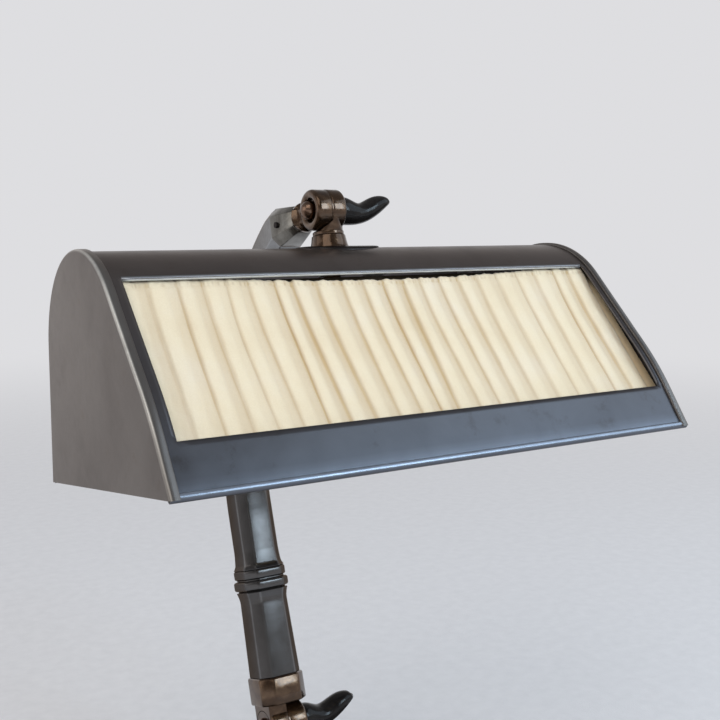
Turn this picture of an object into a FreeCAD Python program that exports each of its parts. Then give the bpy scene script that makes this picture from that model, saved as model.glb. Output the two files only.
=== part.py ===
import FreeCAD, Part
import math
import os

# Adjustable piano lamp: a folded metal trough shade with a pleated window, on a leaning
# chamfered-square stem with a gooseneck, over a cast base. Millimetres and degrees.
# +X runs along the shade, +Y to the back, +Z up. The origin is the centre of the underside.

V = FreeCAD.Vector

# ---------------------------------------------------------------- pose and main places
shade_tilt = 9.44            # the shade's open side is turned so that its front edge is lifted
stem_lean = 18.3             # the stem leans back from upright by this
foot_back = 35.2             # lower joint's axis, behind the base centre
foot_height = 54.0           # lower joint's axis, above the table
head_back = -14.0            # upper joint's axis, behind the base centre
head_height = 376.0          # upper joint's axis, above the table

# ---------------------------------------------------------------- clearances
run_gap = 0.05               # radial clearance of a shaft that turns in its bore
fit_gap = 0.10               # radial clearance of pieces pushed together and fixed
soft_gap = 0.30              # room round fabric and between curved faces that pass each other

# ---------------------------------------------------------------- base
base_length = 190.0
base_depth = 150.0
base_corner = 26.0           # leg of the chamfered corners in plan
felt_thick = 2.0
felt_inset = 2.5
plinth_height = 18.0
tier_inset = 9.0
tier_height = 4.0
roof_inset = 6.0
boss_across = 48.0
boss_top = 34.0
casting_wall = 7.0
pocket_height = 14.0
plate_thick = 1.2
plate_inset = 4.0
plate_screw_radius = 2.0
plate_screw_head = 4.0
plate_screw_length = 11.0
screw_boss_radius = 6.5
screw_boss_inset = 21.0
weight_side_gap = 4.5         # between the weight and the screws' bosses
weight_depth = 66.0
weight_front_gap = 3.0
inlet_height = 9.6
inlet_bore_radius = 3.6
bush_radius = 5.5
bush_flange_radius = 8.0
bush_flange = 2.0
bush_nose = 4.0
bush_nose_lip = 0.5

# ---------------------------------------------------------------- lower joint
foot_eye_radius = 13.0
foot_eye_width = 12.0
foot_washer = 0.8
foot_bolt_radius = 4.0
knuckle_across = 40.0
spigot_radius = 7.0
spigot_bore = 3.0
knuckle_nut_across = 22.0
knuckle_nut_thick = 7.0
knuckle_washer_radius = 14.0
knuckle_washer_thick = 1.6
foot_lever_length = 39.56

# ---------------------------------------------------------------- stem and gooseneck
corner_share = 0.214         # chamfer leg of a chamfered square, as a share of its width
foot_block_across = 31.0
foot_block_length = 17.0
lower_stem_across = 28.2
lower_stem_top_across = 26.4
lower_flare_across = 29.0
collar_start = 84.8          # along the stem, from the lower joint's axis
collar_lower_across = 30.8
collar_upper_across = 29.0
collar_groove_across = 26.6
collar_band = 6.2
collar_groove = 0.8
collar_flare = 7.0
flare_steps = 4
gooseneck_across = 25.2
gooseneck_tip_across = 22.4
tenon_radius = 8.0
tenon_length = 14.0
stem_bore = 4.5
elbow_radius = 14.0
elbow_slope = 40.0           # below level, where the main bow starts behind the elbow
set_screw_radius = 1.75

# ---------------------------------------------------------------- upper joint
head_slope = 15.5            # the arm head falls away from the joint by this
arm_eye_radius = 11.4
arm_eye_width = 9.3
neck_eye_radius = 11.5
neck_eye_width = 8.7
head_washer = 0.5
joint_left = -6.0            # left face of the arm's eye
joint_shift = 5.5            # the neck's centre, to the right of the stem's centre plane
head_bolt_radius = 3.0
bolt_head_radius = 4.75
bolt_head_side = 3.2
bolt_head_dome = 3.4
recess_radius = 7.8
recess_depth = 3.0
rim_round = 1.6
neck_eye_round = 1.2
arm_neck_radius = 6.6
arm_ring_start = 13.0
arm_ring_radius = 8.6
arm_ring_width = 3.4
arm_groove_radius = 7.6
arm_groove_width = 1.0
arm_block_across = 15.0
arm_block_rear_across = 23.2
arm_block_end = 37.0         # along the head, from the upper joint's axis
head_tenon_radius = 5.6
head_tenon_length = 12.0

# ---------------------------------------------------------------- thumb levers
head_lever_length = 34.4      # from the hub's face to the tip, along X
lever_bolt_depth = 7.0

# ---------------------------------------------------------------- neck and swivel
neck_height = 21.0           # upper joint's axis, above the top of the shade's outline
neck_foot_radius = 10.7
neck_foot_top_radius = 9.5
neck_foot_height = 6.8
neck_ring_radius = 8.75
neck_ring_height = 2.3
neck_web_radius = 8.3
neck_skirt_rise = 4.0         # full round of the neck, above its ring
neck_rib_radius = 2.6         # top of the rib in front of the joint
neck_rib_reach = 7.8          # that top's centre, in front of the neck's centre
neck_rib_drop = 5.0           # and below the joint's axis
neck_tail_radius = 7.5
pivot_radius = 5.0
pivot_bore = 3.0
saddle_radius = 15.0
saddle_drop = 2.6
strap_thick = 2.0
strap_width = 24.0
ring_nut_radius = 11.0
ring_nut_thick = 4.0
pivot_washer_radius = 9.0
pivot_washer_thick = 1.0
pivot_nut_across = 15.0
pivot_nut_thick = 4.0
rosette_half_length = 26.5
rosette_half_depth = 22.5
rosette_thick = 1.0

# ---------------------------------------------------------------- shade
shade_length = 300.0
shade_depth = 171.4
shade_height = 115.0
front_low_angle = 26.0       # the lowest strip of the front, from upright
front_low_length = 24.0
front_bend_radius = 165.0
front_angle = 36.4           # the window's part of the front, from upright
front_length = 54.3
back_angle = 10.5            # the back wall, from upright
sheet_thick = 0.8
cap_thick = 1.0
cap_rim_thick = 1.2
cap_rim_width = 5.0
cap_round = 1.9
bead_radius = 2.0
hem_width = 6.0
neck_off_centre = 2.5        # neck's centre, to the left of the shade's middle
neck_from_front = 110.0

# ---------------------------------------------------------------- window
window_side = 8.5            # from each end of the shade to the opening
window_low = 27.0            # along the front, from its bottom edge
window_high = 113.0
lip_depth = 3.0
panel_low_depth = 8.2        # the fabric's face below the outline, at the sill
panel_high_depth = 5.9       # and at the lintel
panel_thick = 2.4
panel_top_drop = 1.0
frame_side = 6.5
frame_thick = 1.0
frame_rail_half = 6.0
clip_width = 12.0
clip_thick = 0.8
clip_reach = 5.0
clip_end_inset = 42.0

# ---------------------------------------------------------------- lampholder and bulb
lamp_drop = 55.0             # the bulb's axis, below the top of the shade's outline
holder_back_x = 246.0        # rear face of the bracket's plate, from the shade's left end
holder_length = 46.0
holder_radius = 17.0
holder_wall = 1.0
holder_cap_length = 16.0
holder_nose = 6.0
nipple_radius = 5.0
nipple_bore = 3.2
nipple_tail = 8.0
holder_nut_across = 14.0
holder_nut_thick = 3.0
core_length = 20.0
screw_shell_radius = 14.3
screw_shell_wall = 0.5
screw_shell_length = 22.0
contact_thick = 0.6
contact_width = 6.0
lamp_cap_radius = 13.2
lamp_cap_length = 24.0
lamp_tip_radius = 5.0
lamp_tip_length = 2.5
lamp_glass_radius = 15.0
lamp_glass_length = 118.0
lamp_neck_length = 10.0
key_from_plate = 24.0
key_shaft_radius = 2.0
key_shaft_length = 7.0
key_wing_length = 16.0
key_wing_height = 8.0
key_wing_thick = 3.0


# ================================================================ small geometry helpers
def cylinder(radius, length, start, direction):
    """Cylinder from the point start, along direction."""
    return Part.makeCylinder(radius, length, start, direction)


def tube(outer, inner, length, start, direction):
    """Hollow cylinder."""
    return cylinder(outer, length, start, direction).cut(cylinder(inner, length, start, direction))


def box(x, y, z):
    """Box between the pairs x, y and z, each (low, high)."""
    return Part.makeBox(x[1] - x[0], y[1] - y[0], z[1] - z[0], V(x[0], y[0], z[0]))


def corner_wire(centre, along, across, half_along, half_across, leg):
    """Chamfered rectangle in the plane of the unit vectors along and across."""
    a, b = half_along, half_across
    corners = [(a, b - leg), (a - leg, b), (leg - a, b), (-a, b - leg),
               (-a, leg - b), (leg - a, -b), (a - leg, -b), (a, leg - b)]
    points = [centre + along * p + across * q for p, q in corners]
    return Part.makePolygon(points + points[:1])


def square_wire(centre, along, across, width):
    """Chamfered square of the stem's proportions."""
    return corner_wire(centre, along, across, width / 2, width / 2, width * corner_share)


def plan_wire(length, depth, leg, height, back=0.0):
    """Chamfered rectangle in plan, centred on the given distance back."""
    return corner_wire(V(0, back, height), V(1, 0, 0), V(0, 1, 0), length / 2, depth / 2, leg)


def slab(wire, height):
    """Upright slab on a closed wire."""
    return Part.Face(wire).extrude(V(0, 0, height))


def hexagon(across, thick, start, direction):
    """Hexagon nut blank from start, along direction."""
    side = direction.cross(V(0, 1, 0)) if abs(direction.y) < 0.9 else direction.cross(V(1, 0, 0))
    side.normalize()
    other = direction.cross(side)
    radius = across / math.sqrt(3)
    points = []
    for i in range(6):
        turn = math.radians(60 * i)
        points.append(start + side * (radius * math.cos(turn)) + other * (radius * math.sin(turn)))
    return Part.Face(Part.makePolygon(points + points[:1])).extrude(direction * thick)


def outer_edges(shape, test):
    """Edges of a shape for whose centre of mass the test holds."""
    return [edge for edge in shape.Edges if test(edge.CenterOfMass)]


# ================================================================ stem line and gooseneck path
def heading(angle):
    """Unit vector in the YZ plane, at an angle from +Y towards +Z."""
    return V(0, math.cos(math.radians(angle)), math.sin(math.radians(angle)))


foot_axis = V(0, foot_back, foot_height)
head_axis = V(0, head_back, head_height)
stem_up = heading(90 - stem_lean)
stem_front = heading(180 - stem_lean)
arm_out = heading(-head_slope)
arm_up = heading(90 - head_slope)
across = V(1, 0, 0)
collar_length = 2 * collar_band + collar_groove
gooseneck_start = collar_start + collar_length


def along_stem(distance):
    """Point on the stem's centreline, from the lower joint's axis."""
    return foot_axis + stem_up * distance


def along_arm(distance):
    """Point on the arm head's centreline, from the upper joint's axis."""
    return head_axis + arm_out * distance


def gooseneck_spine():
    """Edges of the centreline: the stem's line, a wide bow tangent to it, a tight elbow to the head."""
    tip = along_arm(arm_block_end)
    elbow_centre = tip - arm_up * elbow_radius
    bow_normal = heading(90 - elbow_slope)
    elbow_end = elbow_centre + bow_normal * elbow_radius
    elbow_mid = elbow_centre + heading(90 - (head_slope + elbow_slope) / 2) * elbow_radius
    away = (elbow_end - foot_axis).dot(stem_front)
    bow_radius = away / (1 + bow_normal.dot(stem_front))
    bow_centre = elbow_end - bow_normal * bow_radius
    bow_start = bow_centre - stem_front * bow_radius
    bow_mid = bow_centre + heading((90 - elbow_slope - stem_lean) / 2) * bow_radius
    start = along_stem(gooseneck_start)
    return [
        Part.makeLine(start, bow_start),
        Part.Arc(bow_start, bow_mid, elbow_end).toShape(),
        Part.Arc(elbow_end, elbow_mid, tip).toShape(),
    ]


# ================================================================ base
def screw_places():
    """Centres of the four plate screws."""
    x = base_length / 2 - screw_boss_inset
    y = base_depth / 2 - screw_boss_inset
    return [V(sx * x, sy * y, 0) for sx in (-1, 1) for sy in (-1, 1)]


plate_low = felt_thick
plate_high = plate_low + plate_thick
pocket_top = felt_thick + pocket_height
inlet_outer = V(0, base_depth / 2, inlet_height)


def base_casting():
    """Heavy casting: plinth, step and sloped roof up to the boss, hollow below."""
    plinth = slab(plan_wire(base_length, base_depth, base_corner, felt_thick), plinth_height)
    tier_low = felt_thick + plinth_height
    tier_length = base_length - 2 * tier_inset
    tier_depth = base_depth - 2 * tier_inset
    tier = slab(plan_wire(tier_length, tier_depth, base_corner, tier_low), tier_height)
    roof_low = tier_low + tier_height
    roof = Part.makeLoft([
        plan_wire(tier_length - 2 * roof_inset, tier_depth - 2 * roof_inset, base_corner, roof_low),
        plan_wire(boss_across, boss_across, boss_across * corner_share, boss_top, foot_back),
    ], True, True)
    body = plinth.fuse([tier, roof])
    hollow_length = base_length - 2 * casting_wall
    hollow_depth = base_depth - 2 * casting_wall
    hollow = slab(plan_wire(hollow_length, hollow_depth, base_corner, felt_thick), pocket_height)
    for place in screw_places():
        hollow = hollow.cut(cylinder(screw_boss_radius, pocket_height, place + V(0, 0, felt_thick), V(0, 0, 1)))
    body = body.cut(hollow)
    rebate_length = base_length - 2 * plate_inset
    rebate_depth = base_depth - 2 * plate_inset
    body = body.cut(slab(plan_wire(rebate_length, rebate_depth, base_corner, felt_thick), plate_thick))
    body = body.cut(cylinder(spigot_radius + fit_gap, boss_top, V(0, foot_back, 0), V(0, 0, 1)))
    for place in screw_places():
        body = body.cut(cylinder(plate_screw_radius, plate_screw_length, place + V(0, 0, felt_thick), V(0, 0, 1)))
    body = body.cut(cylinder(bush_radius, casting_wall * 2, inlet_outer, V(0, -1, 0)))
    return body.removeSplitter()


def base_plate():
    """Steel plate that closes the hollow, countersunk for its screws."""
    length = base_length - 2 * (plate_inset + fit_gap)
    depth = base_depth - 2 * (plate_inset + fit_gap)
    plate = slab(plan_wire(length, depth, base_corner, plate_low), plate_thick)
    for place in screw_places():
        sink = Part.makeCone(plate_screw_head, plate_screw_radius, plate_thick, place + V(0, 0, plate_low))
        plate = plate.cut(sink)
    return plate


def base_plate_screws():
    """Four countersunk screws, flush with the plate."""
    screws = []
    for place in screw_places():
        low = place + V(0, 0, plate_low)
        shank = cylinder(plate_screw_radius, plate_screw_length, low, V(0, 0, 1))
        head = Part.makeCone(plate_screw_head, plate_screw_radius, plate_thick, low)
        screws.append(shank.fuse(head))
    return Part.makeCompound(screws)


def base_felt():
    """Felt pad under the whole base."""
    length = base_length - 2 * felt_inset
    depth = base_depth - 2 * felt_inset
    return slab(plan_wire(length, depth, base_corner, 0.0), felt_thick)


def base_weight():
    """Iron slab in the front half of the hollow, below the shade's overhang."""
    front = -base_depth / 2 + casting_wall + weight_front_gap
    half = base_length / 2 - screw_boss_inset - screw_boss_radius - weight_side_gap
    return box((-half, half), (front, front + weight_depth), (plate_high, pocket_top))


def cord_inlet_bush():
    """Flanged rubber bush in the back wall, where a mains cord would enter."""
    flange = cylinder(bush_flange_radius, bush_flange, inlet_outer, V(0, 1, 0))
    nose = cylinder(bush_radius + bush_nose_lip, bush_nose, inlet_outer - V(0, casting_wall + bush_nose, 0), V(0, 1, 0))
    body = cylinder(bush_radius, casting_wall + bush_nose, inlet_outer, V(0, -1, 0))
    whole = flange.fuse([body, nose])
    length = casting_wall + bush_nose + bush_flange
    return whole.cut(cylinder(inlet_bore_radius, length, inlet_outer + V(0, bush_flange, 0), V(0, -1, 0)))


# ================================================================ joints: eyes, bolts and levers
def eye(radius, x_low, x_high, axis):
    """Round eye of a joint between two distances along X."""
    return cylinder(radius, x_high - x_low, axis + V(x_low, 0, 0), V(1, 0, 0))


def clamp_bolt(radius, head_scale, x_low, x_high, axis):
    """Bolt with a domed head in the recess of the left eye."""
    head_radius = bolt_head_radius * head_scale
    dome_rise = bolt_head_dome * head_scale
    sphere_radius = (head_radius ** 2 + dome_rise ** 2) / (2 * dome_rise)
    seat = x_low + recess_depth * head_scale
    side = seat - bolt_head_side * head_scale
    dome = Part.makeSphere(sphere_radius, axis + V(side - dome_rise + sphere_radius, 0, 0))
    block = cylinder(head_radius, dome_rise, axis + V(side - dome_rise, 0, 0), V(1, 0, 0))
    head = cylinder(head_radius, seat - side, axis + V(side, 0, 0), V(1, 0, 0))
    shank = cylinder(radius, x_high - seat, axis + V(seat, 0, 0), V(1, 0, 0))
    return dome.common(block).fuse([head, shank])


def recessed_eye(radius, scale, x_low, x_high, axis, bore):
    """Left eye with a rounded rim, a recess for the bolt head and the bolt's bore."""
    body = eye(radius, x_low, x_high, axis)
    rim = outer_edges(body, lambda c: abs(c.x - x_low) < 0.01)
    body = body.makeFillet(rim_round * scale, rim)
    recess = cylinder(recess_radius * scale, recess_depth * scale, axis + V(x_low, 0, 0), V(1, 0, 0))
    body = body.cut(recess)
    return body.cut(cylinder(bore, x_high - x_low, axis + V(x_low, 0, 0), V(1, 0, 0)))


def thumb_lever(length, x_low, axis, bore, depth):
    """Horn-shaped clamp lever: a round hub that sweeps out and up to a thin thumb tip."""
    # along X, rise, half width front to back and half thickness, as shares of the length
    stations = [(0.0, -0.012, 0.220, 0.220), (0.160, -0.026, 0.220, 0.218), (0.343, -0.050, 0.210, 0.186),
                (0.500, -0.027, 0.195, 0.161), (0.634, 0.043, 0.185, 0.160), (0.790, 0.110, 0.165, 0.139),
                (0.907, 0.149, 0.125, 0.091), (1.0, 0.193, 0.058, 0.037)]
    wires = []
    for run, rise, half_width, half_thick in stations:
        centre = axis + V(x_low + run * length, 0, rise * length)
        major, minor = half_width * length, half_thick * length
        if half_width == half_thick:
            minor = major * 0.997
        ring = Part.Ellipse(centre + V(0, major, 0), centre + V(0, 0, minor), centre)
        wires.append(Part.Wire(ring.toShape()))
    horn = Part.makeLoft(wires, True, False)
    return horn.cut(cylinder(bore, depth, axis + V(x_low, 0, 0), V(1, 0, 0)))


# ---------------------------------------------------------------- lower joint
foot_half_washer = foot_washer / 2
foot_left = -foot_half_washer - foot_eye_width
foot_right = foot_half_washer + foot_eye_width
foot_scale = foot_eye_radius / arm_eye_radius


def base_knuckle():
    """Fixed half of the lower joint: right eye on a chamfered flange with a threaded spigot."""
    flange_top = foot_height - foot_eye_radius - soft_gap
    foot = V(0, foot_back, 0)
    flange = slab(plan_wire(knuckle_across, knuckle_across, knuckle_across * corner_share, boss_top, foot_back),
                  flange_top - boss_top)
    web_half = foot_eye_radius * 0.8
    web = box((foot_half_washer, foot_right), (foot_back - web_half, foot_back + web_half),
              (boss_top, foot_height))
    ring = eye(foot_eye_radius, foot_half_washer, foot_right, foot_axis)
    spigot_end = pocket_top - knuckle_washer_thick - knuckle_nut_thick
    spigot = cylinder(spigot_radius, boss_top - spigot_end, foot + V(0, 0, spigot_end), V(0, 0, 1))
    whole = flange.fuse([web, ring, spigot])
    whole = whole.cut(eye(foot_bolt_radius + fit_gap, foot_half_washer, foot_right, foot_axis))
    wire_top = (boss_top + flange_top) / 2
    whole = whole.cut(cylinder(spigot_bore, wire_top - spigot_end, foot + V(0, 0, spigot_end), V(0, 0, 1)))
    whole = whole.cut(cylinder(spigot_bore * 0.8, knuckle_across, V(0, foot_back, wire_top), V(0, 1, 0)))
    return whole.removeSplitter()


def knuckle_washer():
    """Plain washer under the pocket's ceiling."""
    return tube(knuckle_washer_radius, spigot_radius + fit_gap, knuckle_washer_thick,
                V(0, foot_back, pocket_top), V(0, 0, -1))


def knuckle_nut():
    """Nut that draws the knuckle down onto the boss."""
    start = V(0, foot_back, pocket_top - knuckle_washer_thick)
    nut = hexagon(knuckle_nut_across, knuckle_nut_thick, start, V(0, 0, -1))
    return nut.cut(cylinder(spigot_radius, knuckle_nut_thick, start, V(0, 0, -1)))


def stem_foot():
    """Moving half of the lower joint: left eye under a chamfered block that takes the stem."""
    start = foot_eye_radius + soft_gap
    end = start + foot_block_length
    block = Part.makeLoft([square_wire(along_stem(start), across, stem_front, foot_block_across),
                           square_wire(along_stem(end), across, stem_front, foot_block_across)], True, True)
    web_half = foot_eye_radius * 0.8
    corners = [foot_axis - stem_front * web_half, foot_axis + stem_front * web_half]
    points = [corners[0], corners[1], corners[1] + stem_up * end, corners[0] + stem_up * end]
    points = [point + V(foot_left, 0, 0) for point in points]
    web = Part.Face(Part.makePolygon(points + points[:1])).extrude(V(foot_eye_width, 0, 0))
    ring = recessed_eye(foot_eye_radius, foot_scale, foot_left, -foot_half_washer, foot_axis, foot_bolt_radius)
    inside = eye(recess_radius * foot_scale, foot_left, foot_left + recess_depth * foot_scale, foot_axis)
    bore = eye(foot_bolt_radius + run_gap, foot_left, -foot_half_washer, foot_axis)
    whole = block.fuse([web, ring]).cut(inside).cut(bore)
    socket = cylinder(tenon_radius + fit_gap, tenon_length, along_stem(end), stem_up * -1)
    wire_way = cylinder(spigot_bore, foot_eye_radius, along_stem(end - tenon_length), stem_front * -1)
    wire_way = wire_way.fuse(cylinder(spigot_bore * 0.8, foot_block_across, along_stem(end - tenon_length / 2),
                                      stem_front * -1))
    screw = cylinder(set_screw_radius, foot_block_across, along_stem(end - tenon_length / 2), V(-1, 0, 0))
    return whole.cut(socket).cut(wire_way).cut(screw).removeSplitter()


# ---------------------------------------------------------------- stem
def flare(narrow_end, wide_end, narrow, wide):
    """Flared length of stem between two distances along it; the width grows with the square of the way."""
    rings = []
    for i in range(flare_steps + 1):
        part = i / flare_steps
        place = along_stem(narrow_end + (wide_end - narrow_end) * part)
        rings.append(square_wire(place, across, stem_front, narrow + (wide - narrow) * part ** 2))
    return Part.makeLoft(rings, True, True)


def lower_stem():
    """Chamfered-square column, wider towards its foot and flared under the collar, with a round tenon below."""
    start = foot_eye_radius + soft_gap + foot_block_length
    flare_start = collar_start - collar_flare
    column = Part.makeLoft([square_wire(along_stem(start), across, stem_front, lower_stem_across),
                            square_wire(along_stem(flare_start), across, stem_front, lower_stem_top_across)],
                           True, True)
    tenon = cylinder(tenon_radius, tenon_length, along_stem(start), stem_up * -1)
    whole = column.fuse([flare(flare_start, collar_start, lower_stem_top_across, lower_flare_across), tenon])
    whole = whole.cut(cylinder(stem_bore, collar_start, along_stem(start - tenon_length), stem_up))
    return whole.cut(cylinder(tenon_radius + fit_gap, tenon_length, along_stem(collar_start), stem_up * -1))


def stem_collar():
    """Double square collar with a hollow flare up to the gooseneck."""
    groove_low = collar_start + collar_band
    groove_high = groove_low + collar_groove
    bands = [
        (collar_start, groove_low, collar_lower_across),
        (groove_low, groove_high, collar_groove_across),
        (groove_high, gooseneck_start, collar_upper_across),
    ]
    whole = None
    for low, high, width in bands:
        band = Part.makeLoft([square_wire(along_stem(low), across, stem_front, width),
                              square_wire(along_stem(high), across, stem_front, width)], True, True)
        whole = band if whole is None else whole.fuse(band)
    bore = cylinder(tenon_radius + fit_gap, collar_length, along_stem(collar_start), stem_up)
    return whole.cut(bore).removeSplitter()


def gooseneck():
    """Tapered chamfered-square arm: flared foot, straight run, bow and elbow, hollow throughout."""
    straight, bow, elbow = gooseneck_spine()
    tip = along_arm(arm_block_end)
    foot = square_wire(along_stem(gooseneck_start), across, stem_front, gooseneck_across)
    column = Part.Face(foot).extrude(stem_up * straight.Length)
    bow_start = along_stem(gooseneck_start) + stem_up * straight.Length
    sweep = Part.BRepOffsetAPI.MakePipeShell(Part.Wire([bow, elbow]))
    sweep.setBiNormalMode(across)
    sweep.add(square_wire(bow_start, across, stem_front, gooseneck_across))
    sweep.add(square_wire(tip, across, arm_up, gooseneck_tip_across))
    sweep.build()
    sweep.makeSolid()
    foot_flare = flare(gooseneck_start + collar_flare, gooseneck_start, gooseneck_across, collar_upper_across)
    low_tenon = cylinder(tenon_radius, collar_length + tenon_length, along_stem(gooseneck_start), stem_up * -1)
    head_tenon = cylinder(head_tenon_radius, head_tenon_length, tip, arm_out * -1)
    whole = column.fuse([sweep.shape(), foot_flare, low_tenon, head_tenon])
    bore = Part.BRepOffsetAPI.MakePipeShell(Part.Wire([straight, bow, elbow]))
    bore.setBiNormalMode(across)
    bore.add(Part.Wire(Part.makeCircle(stem_bore, along_stem(gooseneck_start), stem_up)))
    bore.build()
    bore.makeSolid()
    whole = whole.cut(bore.shape())
    whole = whole.cut(cylinder(stem_bore, collar_length + tenon_length, along_stem(gooseneck_start), stem_up * -1))
    return whole.cut(cylinder(stem_bore, head_tenon_length, tip, arm_out * -1))


def stem_set_screws():
    """Grub screws that hold the gooseneck in the arm head and the stem in its foot."""
    head_place = along_arm(arm_block_end - head_tenon_length / 2)
    head_half = arm_block_rear_across / 2
    foot_place = along_stem(foot_eye_radius + soft_gap + foot_block_length - tenon_length / 2)
    foot_half = foot_block_across / 2
    screws = []
    for place, half, inner in ((head_place, head_half, head_tenon_radius), (foot_place, foot_half, tenon_radius)):
        length = half - inner - 2 * set_screw_inset
        screws.append(cylinder(set_screw_radius, length, place - V(inner + set_screw_inset, 0, 0), V(-1, 0, 0)))
    return Part.makeCompound(screws)


set_screw_inset = 0.3


# ---------------------------------------------------------------- upper joint
arm_eye_right = joint_left + arm_eye_width
neck_eye_left = arm_eye_right + head_washer
neck_eye_right = neck_eye_left + neck_eye_width


def arm_head():
    """Left eye of the upper joint, with a ringed neck and a chamfered socket for the gooseneck."""
    ring = recessed_eye(arm_eye_radius, 1.0, joint_left, arm_eye_right, head_axis, head_bolt_radius)
    neck = cylinder(arm_neck_radius, arm_block_end, head_axis, arm_out)
    neck = neck.common(box((joint_left, arm_eye_right), (head_back, head_back + arm_block_end),
                           (head_height - 2 * arm_eye_radius, head_height + arm_eye_radius)))
    ring_end = arm_ring_start + arm_ring_width
    block_start = ring_end + arm_groove_width
    disc = cylinder(arm_ring_radius, arm_ring_width, along_arm(arm_ring_start), arm_out)
    groove = cylinder(arm_groove_radius, arm_groove_width, along_arm(ring_end), arm_out)
    block = Part.makeLoft([square_wire(along_arm(block_start), across, arm_up, arm_block_across),
                           square_wire(along_arm(arm_block_end), across, arm_up, arm_block_rear_across)],
                          True, True)
    whole = ring.fuse([neck, disc, groove, block])
    recess = eye(recess_radius, joint_left, joint_left + recess_depth, head_axis)
    bore = eye(head_bolt_radius + run_gap, joint_left, arm_eye_right, head_axis)
    rear = along_arm(arm_block_end)
    socket = cylinder(head_tenon_radius + fit_gap, head_tenon_length, rear, arm_out * -1)
    wire_way = cylinder(spigot_bore * 0.8, arm_block_rear_across, along_arm(block_start + spigot_bore), arm_up * -1)
    wire_way = wire_way.fuse(cylinder(spigot_bore * 0.8, arm_block_end - block_start - spigot_bore,
                                      along_arm(block_start + spigot_bore), arm_out))
    screw = cylinder(set_screw_radius, arm_block_rear_across,
                     along_arm(arm_block_end - head_tenon_length / 2), V(-1, 0, 0))
    return whole.cut(recess).cut(bore).cut(socket).cut(wire_way).cut(screw).removeSplitter()


# ================================================================ shade outline
def tangent(angle):
    """Direction along the outline, as (back, up), at an angle from upright."""
    return math.sin(math.radians(angle)), math.cos(math.radians(angle))


def outward(angle):
    """Outward normal of the outline where its direction has this angle."""
    return -math.cos(math.radians(angle)), math.sin(math.radians(angle))


def move(point, direction, distance):
    """Point moved along a direction, both (back, up)."""
    return point[0] + direction[0] * distance, point[1] + direction[1] * distance


outline_end_angle = 180 - back_angle
bend_length = front_bend_radius * math.radians(front_angle - front_low_angle)
bend_start = move((0.0, 0.0), tangent(front_low_angle), front_low_length)
bend_centre = move(bend_start, outward(front_low_angle), -front_bend_radius)
front_start = move(bend_centre, outward(front_angle), front_bend_radius)
front_end = move(front_start, tangent(front_angle), front_length)
crown_radius = (shade_height - front_end[1]) / (1 - math.sin(math.radians(front_angle)))
crown_centre = move(front_end, outward(front_angle), -crown_radius)
back_slope = math.tan(math.radians(back_angle))
back_room = shade_depth - crown_centre[0] - shade_height * back_slope
back_radius = back_room / (math.cos(math.radians(back_angle))
                           - (1 - math.sin(math.radians(back_angle))) * back_slope)
back_centre = (crown_centre[0], shade_height - back_radius)


def front_place(distance, depth):
    """Point at a distance up the front from its bottom edge, at a depth below the outline."""
    if distance <= front_low_length:
        angle = front_low_angle
        point = move((0.0, 0.0), tangent(angle), distance)
    elif distance <= front_low_length + bend_length:
        angle = front_low_angle + math.degrees((distance - front_low_length) / front_bend_radius)
        point = move(bend_centre, outward(angle), front_bend_radius)
    elif distance <= front_low_length + bend_length + front_length:
        angle = front_angle
        point = move(front_start, tangent(angle), distance - front_low_length - bend_length)
    else:
        over = distance - front_low_length - bend_length - front_length
        angle = front_angle + math.degrees(over / crown_radius)
        point = move(crown_centre, outward(angle), crown_radius)
    return move(point, outward(angle), -depth)


def flat(point, x=0.0):
    """Point of the shade's section as a 3-D point."""
    return V(x, point[0], point[1])


def arc_between(centre, radius, low, high, x):
    """Arc of the outline between two direction angles."""
    angles = (low, (low + high) / 2, high)
    points = [flat(move(centre, outward(angle), radius), x) for angle in angles]
    return Part.Arc(*points).toShape()


def arch_face(inset, x, base):
    """Face inside the outline at an inset, closed by a straight line at the height base."""
    low_line = move((0.0, 0.0), outward(front_low_angle), -inset)
    run = tangent(front_low_angle)
    first = move(low_line, run, (base - low_line[1]) / run[1])
    back_top = move(back_centre, outward(outline_end_angle), back_radius - inset)
    fall = tangent(outline_end_angle)
    last = move(back_top, fall, (base - back_top[1]) / fall[1])
    a = move(bend_centre, outward(front_low_angle), front_bend_radius - inset)
    b = move(bend_centre, outward(front_angle), front_bend_radius - inset)
    c = move(crown_centre, outward(front_angle), crown_radius - inset)
    edges = [
        Part.makeLine(flat(first, x), flat(a, x)),
        arc_between(bend_centre, front_bend_radius - inset, front_low_angle, front_angle, x),
        Part.makeLine(flat(b, x), flat(c, x)),
        arc_between(crown_centre, crown_radius - inset, front_angle, 90, x),
        arc_between(back_centre, back_radius - inset, 90, outline_end_angle, x),
        Part.makeLine(flat(back_top, x), flat(last, x)),
        Part.makeLine(flat(last, x), flat(first, x)),
    ]
    return Part.Face(Part.Wire(edges))


def arch(inset, x_low, x_high, base=0.0):
    """Solid inside the outline at an inset, between two distances along the shade."""
    return arch_face(inset, x_low, base).extrude(V(x_high - x_low, 0, 0))


def section_block(points, x_low, x_high):
    """Prism along X over a polygon in the shade's section."""
    corners = [flat(point, x_low) for point in points]
    return Part.Face(Part.makePolygon(corners + corners[:1])).extrude(V(x_high - x_low, 0, 0))


inner_inset = cap_rim_thick + sheet_thick
neck_from_left = shade_length / 2 - neck_off_centre
cut_margin = 10.0


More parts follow.
